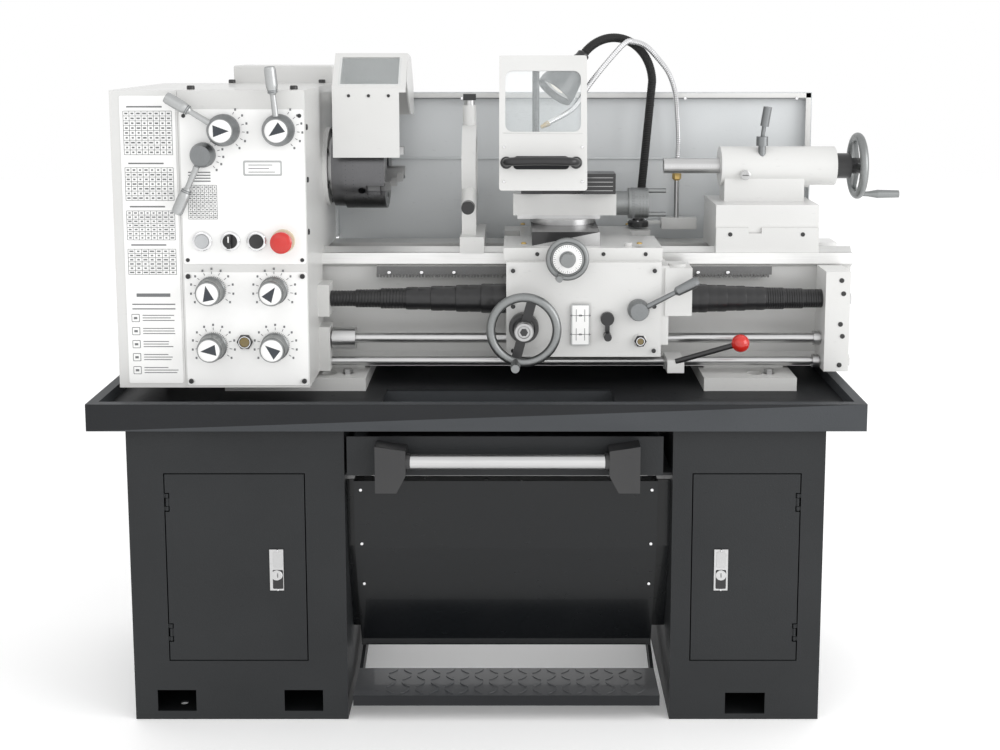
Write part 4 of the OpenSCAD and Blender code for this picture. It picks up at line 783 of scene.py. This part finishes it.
def paint_nodes():
    """Two-tone finishes: bright handles, black grips, the red ball and ground slideways."""
    paint("chip_drawer", BLACK_SATIN, lambda x, y, z: y < -218.7)
    paint("chip_drawer", STEEL_X, lambda x, y,
          z: y < -230 and -122 < x < 228 and away(y, z, -245, handle_z) < 13)
    paint("foot_pedal", TREAD, lambda x, y, z: 48 < z < 49.5)
    paint("bed", WAY_STEEL, lambda x, y, z: z > ways_z - 20.5)
    paint("bed", IRON, lambda x, y, z: y < bed_front - 0.5 and ways_z - 75 < z < ways_z - 22)
    paint("steady_rest", STEEL_X, lambda x, y, z: away(y, z, AXIS_Y, AXIS_Z) < 51 or
          away(y, z, AXIS_Y, AXIS_Z) > 110 and z > AXIS_Z - 60)
    paint("steady_rest", BLACK, lambda x, y, z: z > AXIS_Z + 128 or y < bed_front - 7 and z > ways_z + 50)
    centre = (wheel.x, wheel.z)
    paint("carriage_wheel", WHEEL_GREY, lambda x, y, z: math.hypot(x - centre[0], z - centre[1]) > 49)
    paint("carriage_wheel", STEEL_TURNED, lambda x, y, z: math.hypot(x - centre[0], z - centre[1]) < 17.5 and
          y < apron_front - 24)
    paint("start_lever", RED, lambda x, y, z: (Vector((x, y, z)) - ball).length < 16.6)
    lever_end = Box("start_lever").x0 + 30.5
    paint("start_lever", WHITE, lambda x, y, z: x < lever_end and y > apron_front + 8)
    paint("cross_slide", BLACK_SATIN, lambda x, y, z: z > swivel_z + 2)
    paint("tool_post", STEEL_Y, lambda x, y, z: abs(x - (cross_x - 62)) < 7 and abs(z - AXIS_Z + 13) < 7.5)
    paint("tailstock_wheel", BLACK_SATIN, lambda x, y, z: away(y, z, AXIS_Y, AXIS_Z) < 24.5)
    paint("feed_lever", STEEL_TURNED, lambda x, y, z: y < apron_front - 23.5)
    paint("headstock", STEEL_TURNED, lambda x, y, z: x > head.x1 - 3 and away(y, z, AXIS_Y, AXIS_Z) < 50)
    # A dark band 15 to 22 mm below the tray's top edge, in the slate shadow enamel: painted shade.
    paint("chip_tray", SLATE_PAINTED_SHADE, lambda x, y, z: tray.z1 - 22 < z < tray.z1 - 15)
    for door, pull in door_pulls:
        paint(door, STEEL_X, lambda x, y, z: y < -216 and abs(x - pull) < 14 and 230 < z < 320)


def treadle_pattern():
    """Raised lozenges in alternating directions on the treadle."""
    pedal = Box("foot_pedal")
    x0, x1 = Box("left_cabinet").x1 + 36, Box("right_cabinet").x0 - 10
    tread = Piece("treadle_lozenges", TREAD)
    pitch = 26
    across = int((x1 - x0) // pitch)
    for i in range(across):
        for j in range(4):
            x = x0 + pitch * (i + 0.5)
            y = pedal.y0 + 14 + j * 25.5
            slant = 1 if (i + j) % 2 else -1
            a = math.radians(45 * slant)
            outline = []
            for along, side in ((-11, 0), (-6, 2.6), (6, 2.6), (11, 0), (6, -2.6), (-6, -2.6)):
                outline.append((x + along * math.cos(a) - side * math.sin(a),
                                y + along * math.sin(a) + side * math.cos(a)))
            tread.plate(outline, "z", 48.5, 50.3, edge=0.6)
    tread.done("foot_pedal")


def cabinet_details():
    """Door locks, handle ferrules and panel screws."""
    for door, pull in door_pulls:
        lock = Piece(door + "_lock", STEEL_X)
        z = Box(door).z0 + 168
        lock.plate(rounded(pull - 9, pull + 9, z - 37, z - 3, 2), "y", door_face - 0.9, door_face, BLACK)
        lock.turned([(8.2, 0), (8.2, 1.0), (7.2, 1.6), (3, 1.6), (0, 1.2)], (pull, door_face - 0.4, z - 12),
                    "front", 32, CHROME)
        lock.box((pull - 0.8, door_face - 2.2, z - 16), (pull + 0.8, door_face - 1.6, z - 8), 0.1, BLACK)
        lock.plate(rounded(pull - 8, pull + 8, z + 2, z + 30, 2), "y", door_face - 1.0, door_face, STEEL_Y)
        for dz in (-38.5, 32):
            pan_screw(lock, (pull, door_face - 0.2, z + dz), "front", 2.2, CHROME)
        lock.done(door)
    ferrule = Piece("drawer_handle_ferrules", CHROME)
    for x in (-120, 226):
        side = 1 if x < 0 else -1
        ferrule.turned([(14.6, 0), (14.6, side * 7), (12.7, side * 9)], (x, -244, handle_z), "x", 36,
                       BLACK_SATIN)
    for x in (-150, 256):
        for dz in (-14, 12):
            socket_screw(ferrule, (x, -257.6, handle_z + dz), "front", 5, 1.3, BLACK)
    ferrule.done("chip_drawer")
    knee = Box("knee_panel")
    screws = Piece("knee_panel_screws", CHROME)
    for x in (knee.x0 + 26, knee.x1 - 34):
        for z, y in ((knee.z1 - 16, knee.y0 + 1), (knee.z1 - 116, knee.y0 + 9),
                     (knee.z1 - 200, knee.y0 + 36)):
            pan_screw(screws, (x, y, z), "front", 3.2)
    screws.done("stand")


def bed_details():
    """Screws in the rack and the end bracket, foot bolts and bearing caps."""
    trim = Piece("bed_screws", BLACK_SATIN)
    bracket = Box("rod_brackets")
    for i, z in enumerate((bracket.z1 - 16, bracket.z1 - 40, bracket.z1 - 96, bracket.z1 - 118,
                           bracket.z0 + 14)):
        socket_screw(trim, (bracket.x1 - (12 if i % 2 else 16), bracket.y0 - 0.2, z), "front", 4.4, 0.9)
    for x in (head.x1 + 90, head.x1 + 150, head.x1 + 210, saddle.x1 + 75, saddle.x1 + 130):
        socket_screw(trim, (x, bed_front - 6.4, ways_z - 36), "front", 3.4, 1.2, CHROME)
    for x in (head.x1 + 4, tail_wheel.x0 - 140):
        trim.turned([(13, 0), (13, 2), (9, 2), (9, 9), (8, 10), (0, 10)],
                    (x + 12, bed_front - 40, bed.z0 + 22), "z", 6,
                    STEEL_TURNED, False)
    for z in (bracket.z1 - 55, bracket.z0 + 60):
        trim.turned([(17, 0), (17, 1.2), (15.5, 1.8), (12, 1.8)], (bracket.x1 + 0.4, rod_y, z), "x", 40,
                    STEEL_TURNED)
    trim.done("stand")


def tool_shield():
    """The white tool shield: a pressed frame with a rounded window, hinge ears and a black bridge handle."""
    shield = Box("tool_guard")
    x0, x1 = shield.x0, shield.x1
    panel = Piece("tool_shield", WHITE)
    outer = rounded(x0, x1, -228, 16, 5)
    inner = rounded(x0 + 11, x1 - 11, -122, -12, 13)
    sheet = bmesh.new()
    loops = [[sheet.verts.new((x, y, z)) for x, z in outline] for outline, y in
             ((outer, -16), (inner, -16), (inner, -12), (outer, -12))]
    for near, far in zip(loops, loops[1:] + loops[:1]):
        for i in range(len(outer)):
            j = (i + 1) % len(outer)
            sheet.faces.new((near[i], near[j], far[j], far[i]))
    bmesh.ops.recalc_face_normals(sheet, faces=sheet.faces)
    panel.take(sheet, WHITE)
    panel.box((x0 + 0.3, -13, 13), (x0 + 21, 2, 16), 1.2)
    panel.box((x0 + 39, -13, 13), (x1 - 0.3, 2, 16), 1.2)
    panel.box((x0 + 8, -17.2, -125), (x1 - 8, -15.4, -122.6), 0.5)
    for x in (x0 + 10, x0 + 40):
        panel.rod(9, (x, 0, 0), (x + 10, 0, 0), BLACK_SATIN)
        panel.box((x, -13, -9), (x + 10, -1, 9), 1, BLACK_SATIN)
    low, high = x0 + 13, x1 - 20
    bow = [(low, -16, -178), (low + 1, -30, -178), (low + 8, -39, -178), (low + 22, -41, -177.5),
           ((low + high) / 2, -42, -177), (high - 22, -41, -177.5), (high - 8, -39, -178),
           (high - 1, -30, -178),
           (high, -16, -178)]
    panel.tube_path(smooth_path(bow, 8), 7.6, BLACK)
    for x in (low, high):
        panel.turned([(11, 0), (11, 2), (8, 4), (7, 4)], (x, -16, -178), "front", 28, BLACK)
    # A dark plate behind the bridge handle, in the slate shadow enamel: painted shade in the handle's recess.
    panel.plate(rounded(low + 12, high - 12, -190, -166, 8), "y", -16.8, -15.8, SLATE_PAINTED_SHADE)
    for x in (x0 + 9, x1 - 9):
        for z in (-150, -212):
            pan_screw(panel, (x, -16.2, z), "front", 2.6, CHROME)
    panel.box((x0 + 8, -13.6, -125), (x1 - 8, -12.4, -9), 0.2, WINDOW)
    turn = Matrix.Translation(shield_pivot) @ Matrix.Rotation(math.radians(-10), 4, "X")
    panel.move(turn)
    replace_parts(panel.done("tool_guard"), "tool_guard")


def chuck_window():
    """Clear pane and rivets of the chuck guard."""
    chuck_cover = Box("chuck_guard")
    pane_piece = Piece("chuck_guard_window", WINDOW)
    front = chuck_cover.y0
    brow = AXIS_Z + 151
    pane_piece.box((chuck_cover.x0 + 10, 4, -0.9), (chuck_cover.x1 - 10, 70, 0.9), 0.2)
    turn = Matrix.Translation((0, front + 2.2, brow + 1.6)) @ Matrix.Rotation(math.radians(46), 4, "X")
    pane_piece.move(turn)
    for i in range(3):
        x = chuck_cover.x0 + 30 + i * 36
        pan_screw(pane_piece, (x, front - 0.1, brow - 14), "front", 3, BLACK)
    pane_piece.done("chuck_guard")


def chuck_details():
    """Turned rings, face rings broken at the jaws, and key sockets of the chuck."""
    body = Box("chuck_body")
    rings = Piece("chuck_rings", DARK_STEEL)
    for x in (body.x0 + 26, body.x0 + 40, body.x1 - 8):
        rings.turned([(79.6, 0), (80.0, 0.3), (80.0, 1.7), (79.6, 2)], (x, AXIS_Y, AXIS_Z), "x", 72, BLACK)
    for r in (74, 62, 34):
        half_jaw = math.asin(11.5 / r)
        for k in range(3):
            start = math.radians(120 * k) + half_jaw
            sweep = [start + i * (math.radians(120) - 2 * half_jaw) / 20 for i in range(21)]
            arc = [(r, a) for a in sweep] + [(r - 1.2, a) for a in reversed(sweep)]
            outline = [(AXIS_Y + s * math.sin(a), AXIS_Z + s * math.cos(a)) for s, a in arc]
            rings.plate(outline, "x", body.x1 - 0.1, body.x1 + 0.4, STEEL_TURNED, 0.05)
    for k in range(3):
        a = math.radians(120 * k + 60)
        spot = (body.x1 - 1.2, AXIS_Y + 56 * math.sin(a), AXIS_Z + 56 * math.cos(a))
        socket_screw(rings, spot, "x", 6, 1.8, BLACK_SATIN)
    rings.done("spindle")


def apron_symbols():
    """The small plate of plain arrows on the apron."""
    plate = Piece("apron_symbol_plate", LABEL)
    x0, x1, z0, z1 = apron.x0 + 115, apron.x0 + 148, apron.z0 + 22, apron.z0 + 96
    y = apron_front
    plate.plate(rounded(x0, x1, z0, z1, 2), "y", y - 0.9, y + 0.2, ALUMINIUM)
    plate.plate(rounded(x0 + 2, x1 - 2, z0 + 2, z1 - 2, 1), "y", y - 1.3, y - 0.6, LABEL)
    for i in range(2):
        for j in range(2):
            cx, cz = x0 + 9 + i * 15, z0 + 20 + j * 34
            plate.box((cx - 0.5, y - 1.7, cz - 11), (cx + 0.5, y - 1, cz + 11), 0.1, INK)
            plate.box((cx - 8, y - 1.7, cz - 0.5), (cx + 8, y - 1, cz + 0.5), 0.1, INK)
            for s in (-1, 1):
                plate.plate([(cx + s * 8, cz - 2.2), (cx + s * 8, cz + 2.2), (cx + s * 11, cz)], "y", y - 1.7,
                            y - 1,
                            INK, 0)
    plate.done("carriage")


def cross_wheel_dial():
    """Graduated collar and face of the cross slide wheel."""
    dial = Piece("cross_wheel_dial", STEEL_TURNED)
    dial.turned([(18.2, 0), (18.2, 1.2), (22.5, 2.2), (22.5, 12), (21, 13)],
                (cross_x, saddle.y0 - 4, cross_dial.z), "front",
                56, LABEL)
    for i, a in enumerate(around(50)):
        deep = 4.5 if i % 5 else 8
        cx, cz = cross_x + 22.4 * math.cos(a), cross_dial.z + 22.4 * math.sin(a)
        dial.box((cx - 0.25, saddle.y0 - 8 - deep, cz - 0.25), (cx + 0.25, saddle.y0 - 8, cz + 0.25), 0.05,
                 INK)
    face_y = saddle.y0 - 50.4
    dial.turned([(12, -3), (33, -3), (33, 1), (27, 3.4), (26, 2.4), (14, 2.4), (12.3, 3.2), (12.3, -3)],
                (cross_x, face_y, cross_dial.z), "front", 64, WHEEL_GREY)
    dial.turned([(25.6, 2.0), (25.6, 2.8), (14.5, 2.8), (14.5, 2.0)], (cross_x, face_y, cross_dial.z),
                "front", 64, LABEL)
    for i, a in enumerate(around(40)):
        r = 23.5 if i % 5 else 22.5
        cx, cz = cross_x + r * math.cos(a), cross_dial.z + r * math.sin(a)
        dial.box((cx - (25 - r), face_y - 3.0, cz - 0.25), (cx + (25 - r), face_y - 2.6, cz + 0.25), 0.05,
                 INK,
                 Matrix.Rotation(-a, 4, "Y"))
    dial.turned([(12.1, 66), (11, 72.1), (7, 72.1), (6.4, 70.5), (0, 70.5)],
                (cross_x, saddle.y0, cross_dial.z), "front", 40,
                STEEL_TURNED)
    dial.turned([(5.6, 70.4), (5.2, 71.6), (0, 71.6)], (cross_x, saddle.y0, cross_dial.z), "front", 28,
                BLACK_SATIN)
    dial.done("cross_wheel")


def top_slide_drum():
    """Graduations and grooves on the drum of the top slide."""
    drum = Piece("top_slide_drum", STEEL_TURNED)
    top = Box("top_wheel")
    for i, a in enumerate(around(60)):
        long = 6 if i % 5 else 11
        cy, cz = top.y + 29.0 * math.cos(a), top.z + 29.0 * math.sin(a)
        drum.box((top.x0 + 58, cy - 0.35, cz - 0.35), (top.x0 + 58 + long, cy + 0.35, cz + 0.35), 0.05, INK)
    for x in (top.x0 + 72, top.x0 + 78, top.x0 + 84):
        drum.turned([(28.9, 0), (29.0, 0.6), (29.0, 2.2), (28.9, 2.8)], (x, top.y, top.z), "x", 56, BLACK)
    drum.done("top_wheel")


def carriage_fittings():
    """Oil cups, screws and the sight glass of the carriage."""
    cups = Piece("oil_cups", BRASS)
    for x in (saddle.x0 + 36, saddle.x1 - 40):
        for y in (saddle.y0 + 14, AXIS_Y + 84):
            cups.turned([(5, -0.5), (5, 1), (3.5, 2.4), (0, 2.8)], (x, y, saddle.z1), "z", 24)
    for x in (saddle.x0 + 60, saddle.x0 + 178, saddle.x1 - 30):
        socket_screw(cups, (x, saddle.y0 - 0.2, saddle.z0 + 12), "front", 3.6, 1.2, BLACK_SATIN)
    for x in (apron.x0 + 12, apron.x0 + 262):
        for z in (apron.z0 + 12, apron.z0 + 92, apron.z0 + 156):
            socket_screw(cups, (x, apron_front - 0.2, z), "front", 4, 1, BLACK_SATIN)
    sight_glass(cups, apron.x0 + 238, apron_front - 0.5, apron.z0 + 30, 11)
    cups.done("carriage")


def swivel_scale():
    """Degree strokes round the swivel base."""
    scale = Piece("swivel_scale", STEEL_TURNED)
    for i in range(-15, 16):
        a = math.radians(-90 + i * 4)
        cx, cy = cross_x + 60.9 * math.cos(a), slide_y + 60.9 * math.sin(a)
        tall = 7 if i % 5 == 0 else 4
        scale.box((cx - 0.3, cy - 0.3, swivel_z + 1), (cx + 0.3, cy + 0.3, swivel_z + 1 + tall), 0.05, INK)
    scale.done("swivel_base")


def carriage_wheel_hub():
    """Turned hub, nut and back flange of the large handwheel."""
    hub = Piece("carriage_wheel_hub", STEEL_TURNED)
    hub.turned([(17.1, 44), (15.5, 50.1), (11, 50.1), (10, 48.8), (0, 48.8)], (wheel.x, apron_front, wheel.z),
               "front", 44)
    hub.turned([(7, 48.6), (7, 51), (6, 52), (0, 52)], (wheel.x, apron_front, wheel.z), "front", 6,
               BLACK_SATIN, False)
    hub.turned([(25.6, 0.5), (26.4, 2), (26.4, 18), (25.6, 19.8), (20, 20.4)],
               (wheel.x, apron_front, wheel.z), "front",
               60, BLACK_SATIN)
    hub.done("carriage_wheel")


def tool_post_screws():
    """Clamp screws, top nut and holder grooves of the tool post."""
    screws = Piece("tool_post_screws", BLACK_SATIN)
    post = Box("tool_post")
    for y in (-34, -8, 18):
        socket_screw(screws, (cross_x - 62, slide_y + y, post.z1 - 0.6), "z", 5.4, 4.2, STEEL_TURNED)
    screws.turned([(17, 0), (17, 7), (15, 9), (6, 9), (6, 16), (0, 16)], (cross_x - 8, slide_y, post.z1 - 10),
                  "z", 6,
                  STEEL_TURNED, False)
    for i in range(4):
        z = post.z0 + 8 + i * 8
        screws.box((cross_x + 40, AXIS_Y - 69.4, z), (cross_x + 90, AXIS_Y - 68.6, z + 1.2), 0.2,
                   STEEL_TURNED)
    screws.done("tool_post")


def smooth_path(points, steps):
    """A smooth line through a list of points."""
    spots = [Vector(p) for p in points]
    spots = [2 * spots[0] - spots[1]] + spots + [2 * spots[-1] - spots[-2]]
    path = []
    for i in range(1, len(spots) - 2):
        a, b, c, d = spots[i - 1:i + 3]
        for k in range(steps):
            t = k / steps
            path.append(0.5 * (2 * b + (c - a) * t + (2 * a - 5 * b + 4 * c - d) * t * t +
                               (3 * b - a - 3 * c + d) * t ** 3))
    path.append(spots[-2])
    return path


def evenly(path, gap):
    """The same line with a point every `gap` millimetres."""
    spots = [path[0]]
    left = gap
    for a, b in zip(path, path[1:]):
        length = (b - a).length
        done = 0
        while length - done > left:
            done += left
            spots.append(a.lerp(b, done / length))
            left = gap
        left -= length - done
    spots.append(path[-1])
    return spots


def work_lamp():
    """Black ribbed gooseneck with a conical lamp head."""
    base_x = saddle.x0 + 262
    base_y = Box("lamp").y1 - 20
    foot = Vector((base_x, base_y, saddle.z1))
    knee = Vector((base_x + 24, base_y - 2, AXIS_Z + 154))
    swing = math.radians(27)
    turn = math.radians(140)
    bend = 87
    out = Vector((math.cos(swing), math.sin(swing), 0))
    centre = knee - out * bend
    path = [foot + Vector((0, 0, 4)) + (knee - foot) * (i / 40) for i in range(41)]
    path += [centre + (out * math.cos(turn * i / 40) + Vector((0, 0, math.sin(turn * i / 40)))) * bend
             for i in range(1, 41)]
    neck = Piece("work_lamp", BLACK)
    neck.turned([(20, 0), (20, 9), (17, 12), (11, 12), (11, 20), (9, 22)], foot - Vector((0, 0, 1.8)), "z",
                48, BLACK_SATIN)
    for k in range(3):
        a = math.radians(120 * k + 20)
        socket_screw(neck, foot + Vector((15 * math.cos(a), 15 * math.sin(a), 9)), "z", 2.6, 2, CHROME)
    neck.tube_path(evenly(path, 1.7), 8.0, RUBBER, 20, 1.1, 1)
    tip = path[-1]
    down = (path[-1] - path[-2]).normalized()
    shade = Piece("spare", BLACK_SATIN)
    shell = [(0, -2), (10, -2), (12, 0), (12, 8), (14, 14), (14, 20), (16, 22), (24, 34), (30, 50), (37, 80),
             (37, 94),
             (35.4, 94), (35.4, 82), (22, 36), (0, 34)]
    shade.turned(shell, (0, 0, 0), "z", 56, BLACK_SATIN)
    shade.turned([(35.0, 81), (21.6, 38), (0, 36.5)], (0, 0, 0), "z", 56, REFLECTOR)
    shade.turned([(9, 38), (9, 52), (17, 62), (19, 72), (14, 84), (0, 88)], (0, 0, 0), "z", 40, BULB)
    for a in around(10):
        spin = Matrix.Rotation(a, 4, "Z")
        shade.box((17.5 * math.cos(a) - 1.2, 17.5 * math.sin(a) - 1.2, 23), (17.5 * math.cos(a) + 1.2,
                  17.5 * math.sin(a) + 1.2, 32), 0.4, BLACK, spin)
    place = Matrix.Translation(tip) @ down.to_track_quat("Z", "Y").to_matrix().to_4x4()
    shade.move(place)
    neck.add(shade)
    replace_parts(neck.done("carriage"), "lamp")


def coolant_hose():
    """Steel segmented coolant hose with a brass stub and nozzle."""
    hose_x = saddle.x0 + 339
    hose_y = AXIS_Y + 92
    block = Piece("coolant_hose", WHITE)
    block.box((saddle.x0 + 309, hose_y - 8, saddle.z1 - 10), (saddle.x0 + 379, hose_y + 14, saddle.z1 + 13),
              2)
    block.box((saddle.x1 - 40, hose_y + 0.3, saddle.z1), (saddle.x0 + 310, hose_y + 14, saddle.z1 + 6), 1)
    block.rod(5, (hose_x, hose_y, saddle.z1 + 12), (hose_x, hose_y, AXIS_Z - 35), STEEL_TURNED)
    block.turned([(5, -38), (7, -36), (9, -34), (9, -22), (7.5, -20), (7.5, -14), (6, -12)],
                 (hose_x, hose_y, AXIS_Z), "z",
                 6, BRASS, False)
    bends = [(0, 0, -14), (1, 0, 12), (2, 0, 38), (-1, -4, 86), (-7, -10, 135), (-22, -21, 174),
             (-46, -36, 204),
             (-70, -52, 226), (-95, -67, 234), (-112, -78, 230), (-146, -98, 195), (-181, -120, 153),
             (-211, -140, 111),
             (-262, -157, 82)]
    path = smooth_path([(hose_x + x, hose_y + y, AXIS_Z + z) for x, y, z in bends], 10)
    block.tube_path(evenly(path, 2.1), 5.0, CHROME, 20, 0.9, 1)
    tip = path[-1]
    along = (path[-1] - path[-3]).normalized()
    block.tube_path([tip - along * 6, tip, tip + along * 3, tip + along * 10], lambda s: 5.6 - 2.2 * s, BRASS)
    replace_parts(block.done("carriage"), "coolant_pipe")


def leadscrew_cover(node, thin_x, wide_x, r_thin, r_wide):
    """A telescopic cover of sprung steel ribbon: stepped, with a rolled lip at each step."""
    length = wide_x - thin_x
    steps = 7
    outline = []
    for i in range(steps):
        r = r_thin + (r_wide - r_thin) * i / (steps - 1)
        a, b = thin_x + length * i / steps, thin_x + length * (i + 1) / steps
        turns = 8 if i < 3 else 2
        for k in range(turns):
            s = a + (b - a) * k / turns
            e = a + (b - a) * (k + 0.86) / turns
            outline += [(r - 0.8, s), (r - 0.1, s + (e - s) * 0.2), (r - 0.1, e)]
        outline += [(r - 0.6, b - 0.5), (r + 0.2, b)]
    outline = [(12.3, thin_x)] + outline + [(12.3, wide_x)]
    ribbon = Piece(node + "_ribbon", BLACK)
    ribbon.turned(outline, (0, rod_y, ways_z - 77), "x", 48, BLACK)
    piece = ribbon.done(None)
    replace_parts(piece, node)
    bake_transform(piece)


def tailstock_details():
    """Plug, screws and wheel collar of the tailstock, and the strokes on its quill."""
    barrel = Box("tailstock_body")
    trim = Piece("tailstock_trim", BLACK_SATIN)
    plug = (barrel.x0 + 60, AXIS_Y - 43, AXIS_Z - 14)
    trim.turned([(9.2, -1), (9.2, 0.3), (8, 0.9), (0, 0.9)], plug, "front", 36, STEEL_TURNED)
    trim.box((plug[0] - 6, plug[1] - 1.2, plug[2] - 0.7), (plug[0] + 6, plug[1] - 0.7, plug[2] + 0.7), 0.1,
             BLACK)
    base = Box("tailstock_base")
    for x in (base.x0 + 26, base.x1 - 30):
        socket_screw(trim, (x, base.y0 - 0.2, base.z1 - 12), "front", 4, 0.9)
    for x in (barrel.x0 + 30, barrel.x0 + 150):
        socket_screw(trim, (x, AXIS_Y, AXIS_Z + 36.4), "z", 3.5, 0.5, CHROME)
    trim.turned([(24.2, 0), (25, 1), (25, 8), (24.2, 9)], (barrel.x1 - 10, AXIS_Y, AXIS_Z), "x", 56,
                STEEL_TURNED)
    trim.done("tailstock")
    marks = Piece("quill_marks", INK)
    quill = Box("quill")
    for i in range(28):
        x = quill.x0 + 14 + i * 5
        half = 1.0 if i % 5 else 1.8
        marks.box((x - 0.2, quill.y0 - 0.05, AXIS_Z - half), (x + 0.2, quill.y0 + 0.4, AXIS_Z + half), 0.02,
                  LABEL)
    marks.done("quill")


def splash_guard_details():
    """Hems with a painted shadow line under the top one, fold line and screws of the splash guard."""
    splash = Box("splash_guard")
    trim = Piece("splash_guard_screws", BLACK_SATIN)
    for i in range(5):
        x = splash.x0 + 30 + i * (splash.x1 - splash.x0 - 60) / 4
        for z in (splash.z0 + 20, splash.z1 - 12):
            pan_screw(trim, (x, splash.y0 + (18 if z < splash.z1 - 20 else 0.2), z), "front", 3.6, CHROME)
    trim.done("stand")
    hem = Piece("splash_guard_hems", WHITE)
    hem.box((splash.x0 + 1, splash.y0, splash.z1 - 11), (splash.x1 - 1, splash.y0 + 1.2, splash.z1 - 0.5),
            0.4)
    # A thin dark strip under the top hem: painted shadow of the hem's front edge.
    hem.box((splash.x0 + 1, splash.y0 + 0.6, splash.z1 - 13.4),
            (splash.x1 - 1, splash.y0 + 1.8, splash.z1 - 11), 0.4, INK)
    hem.box((splash.x1 - 12, splash.y0, ways_z + 100), (splash.x1 - 0.6, splash.y0 + 1.2, splash.z1 - 1), 0.4)
    hem.box((splash.x0 + 2, splash.y0 + 16.5, ways_z + 154), (splash.x1 - 4, splash.y0 + 18.4, ways_z + 158),
            0.5, SPLASH)
    hem.box((splash.x0 - 3.4, splash.y0 - 3, ways_z + 1), (splash.x0 + 2, splash.y1 - 1, splash.z1 - 2), 0.6,
            SPLASH)
    hem.done("stand")


paint_nodes()
treadle_pattern()
cabinet_details()
bed_details()
tool_shield()
chuck_window()
chuck_details()
apron_symbols()
cross_wheel_dial()
top_slide_drum()
carriage_fittings()
swivel_scale()
carriage_wheel_hub()
tool_post_screws()
work_lamp()
coolant_hose()
leadscrew_cover("screw_cover_left", Box("screw_cover_left").x0, Box("screw_cover_left").x1, 14.5, 27)
leadscrew_cover("screw_cover_right", Box("screw_cover_right").x1, Box("screw_cover_right").x0, 17, 26)
tailstock_details()
splash_guard_details()


# ------------------------------------------------------------------ studio

def studio():
    """Pale floor, white surroundings, soft lights and the camera."""
    ground = Look("studio_floor")
    ground.set(Base_Color=ground.mix(ground.noise(2, 2) * 0.2, (0.97, 0.97, 0.97), (0.95, 0.95, 0.95)),
               Roughness=0.6)
    ground.set(Emission_Color=(1.0, 1.0, 1.0), Emission_Strength=0.12)
    floor = Piece("studio_floor", ground.material)
    floor.box((-9000, -9000, -20), (9000, 9000, -0.6), 1)
    floor.done(None)
    world = bpy.data.worlds.new("studio_world")
    bpy.context.scene.world = world
    world.use_nodes = True
    world.node_tree.nodes["Background"].inputs["Color"].default_value = (1.0, 1.0, 1.0, 1)
    world.node_tree.nodes["Background"].inputs["Strength"].default_value = 1.0
    for name, place, aim, size, power in (
        ("key_light", (-1.7, -2.8, 2.6), (0, 0, 0.8), 2.0, 6),
        ("front_light", (0.3, -3.6, 1.6), (0, 0, 0.8), 2.6, 8),
        ("fill_light", (3.0, -1.6, 1.7), (0, 0, 0.85), 2.2, 50),
    ):
        data = bpy.data.lights.new(name, "AREA")
        data.size = size
        data.energy = power
        light = bpy.data.objects.new(name, data)
        bpy.context.scene.collection.objects.link(light)
        light.location = place
        light.rotation_euler = (Vector(aim) - Vector(place)).to_track_quat("-Z", "Y").to_euler()
    lens = bpy.data.cameras.new("camera")
    lens.sensor_width = 36
    lens.lens = 49.0
    lens.shift_x = -0.015
    lens.shift_y = -0.157
    camera = bpy.data.objects.new("camera", lens)
    bpy.context.scene.collection.objects.link(camera)
    camera.location = (0.0656, -2.479, 1.189)
    camera.rotation_euler = (math.radians(90 - 7.5), 0, 0)
    bpy.context.scene.camera = camera
    bpy.context.scene.view_settings.view_transform = "Standard"


studio()
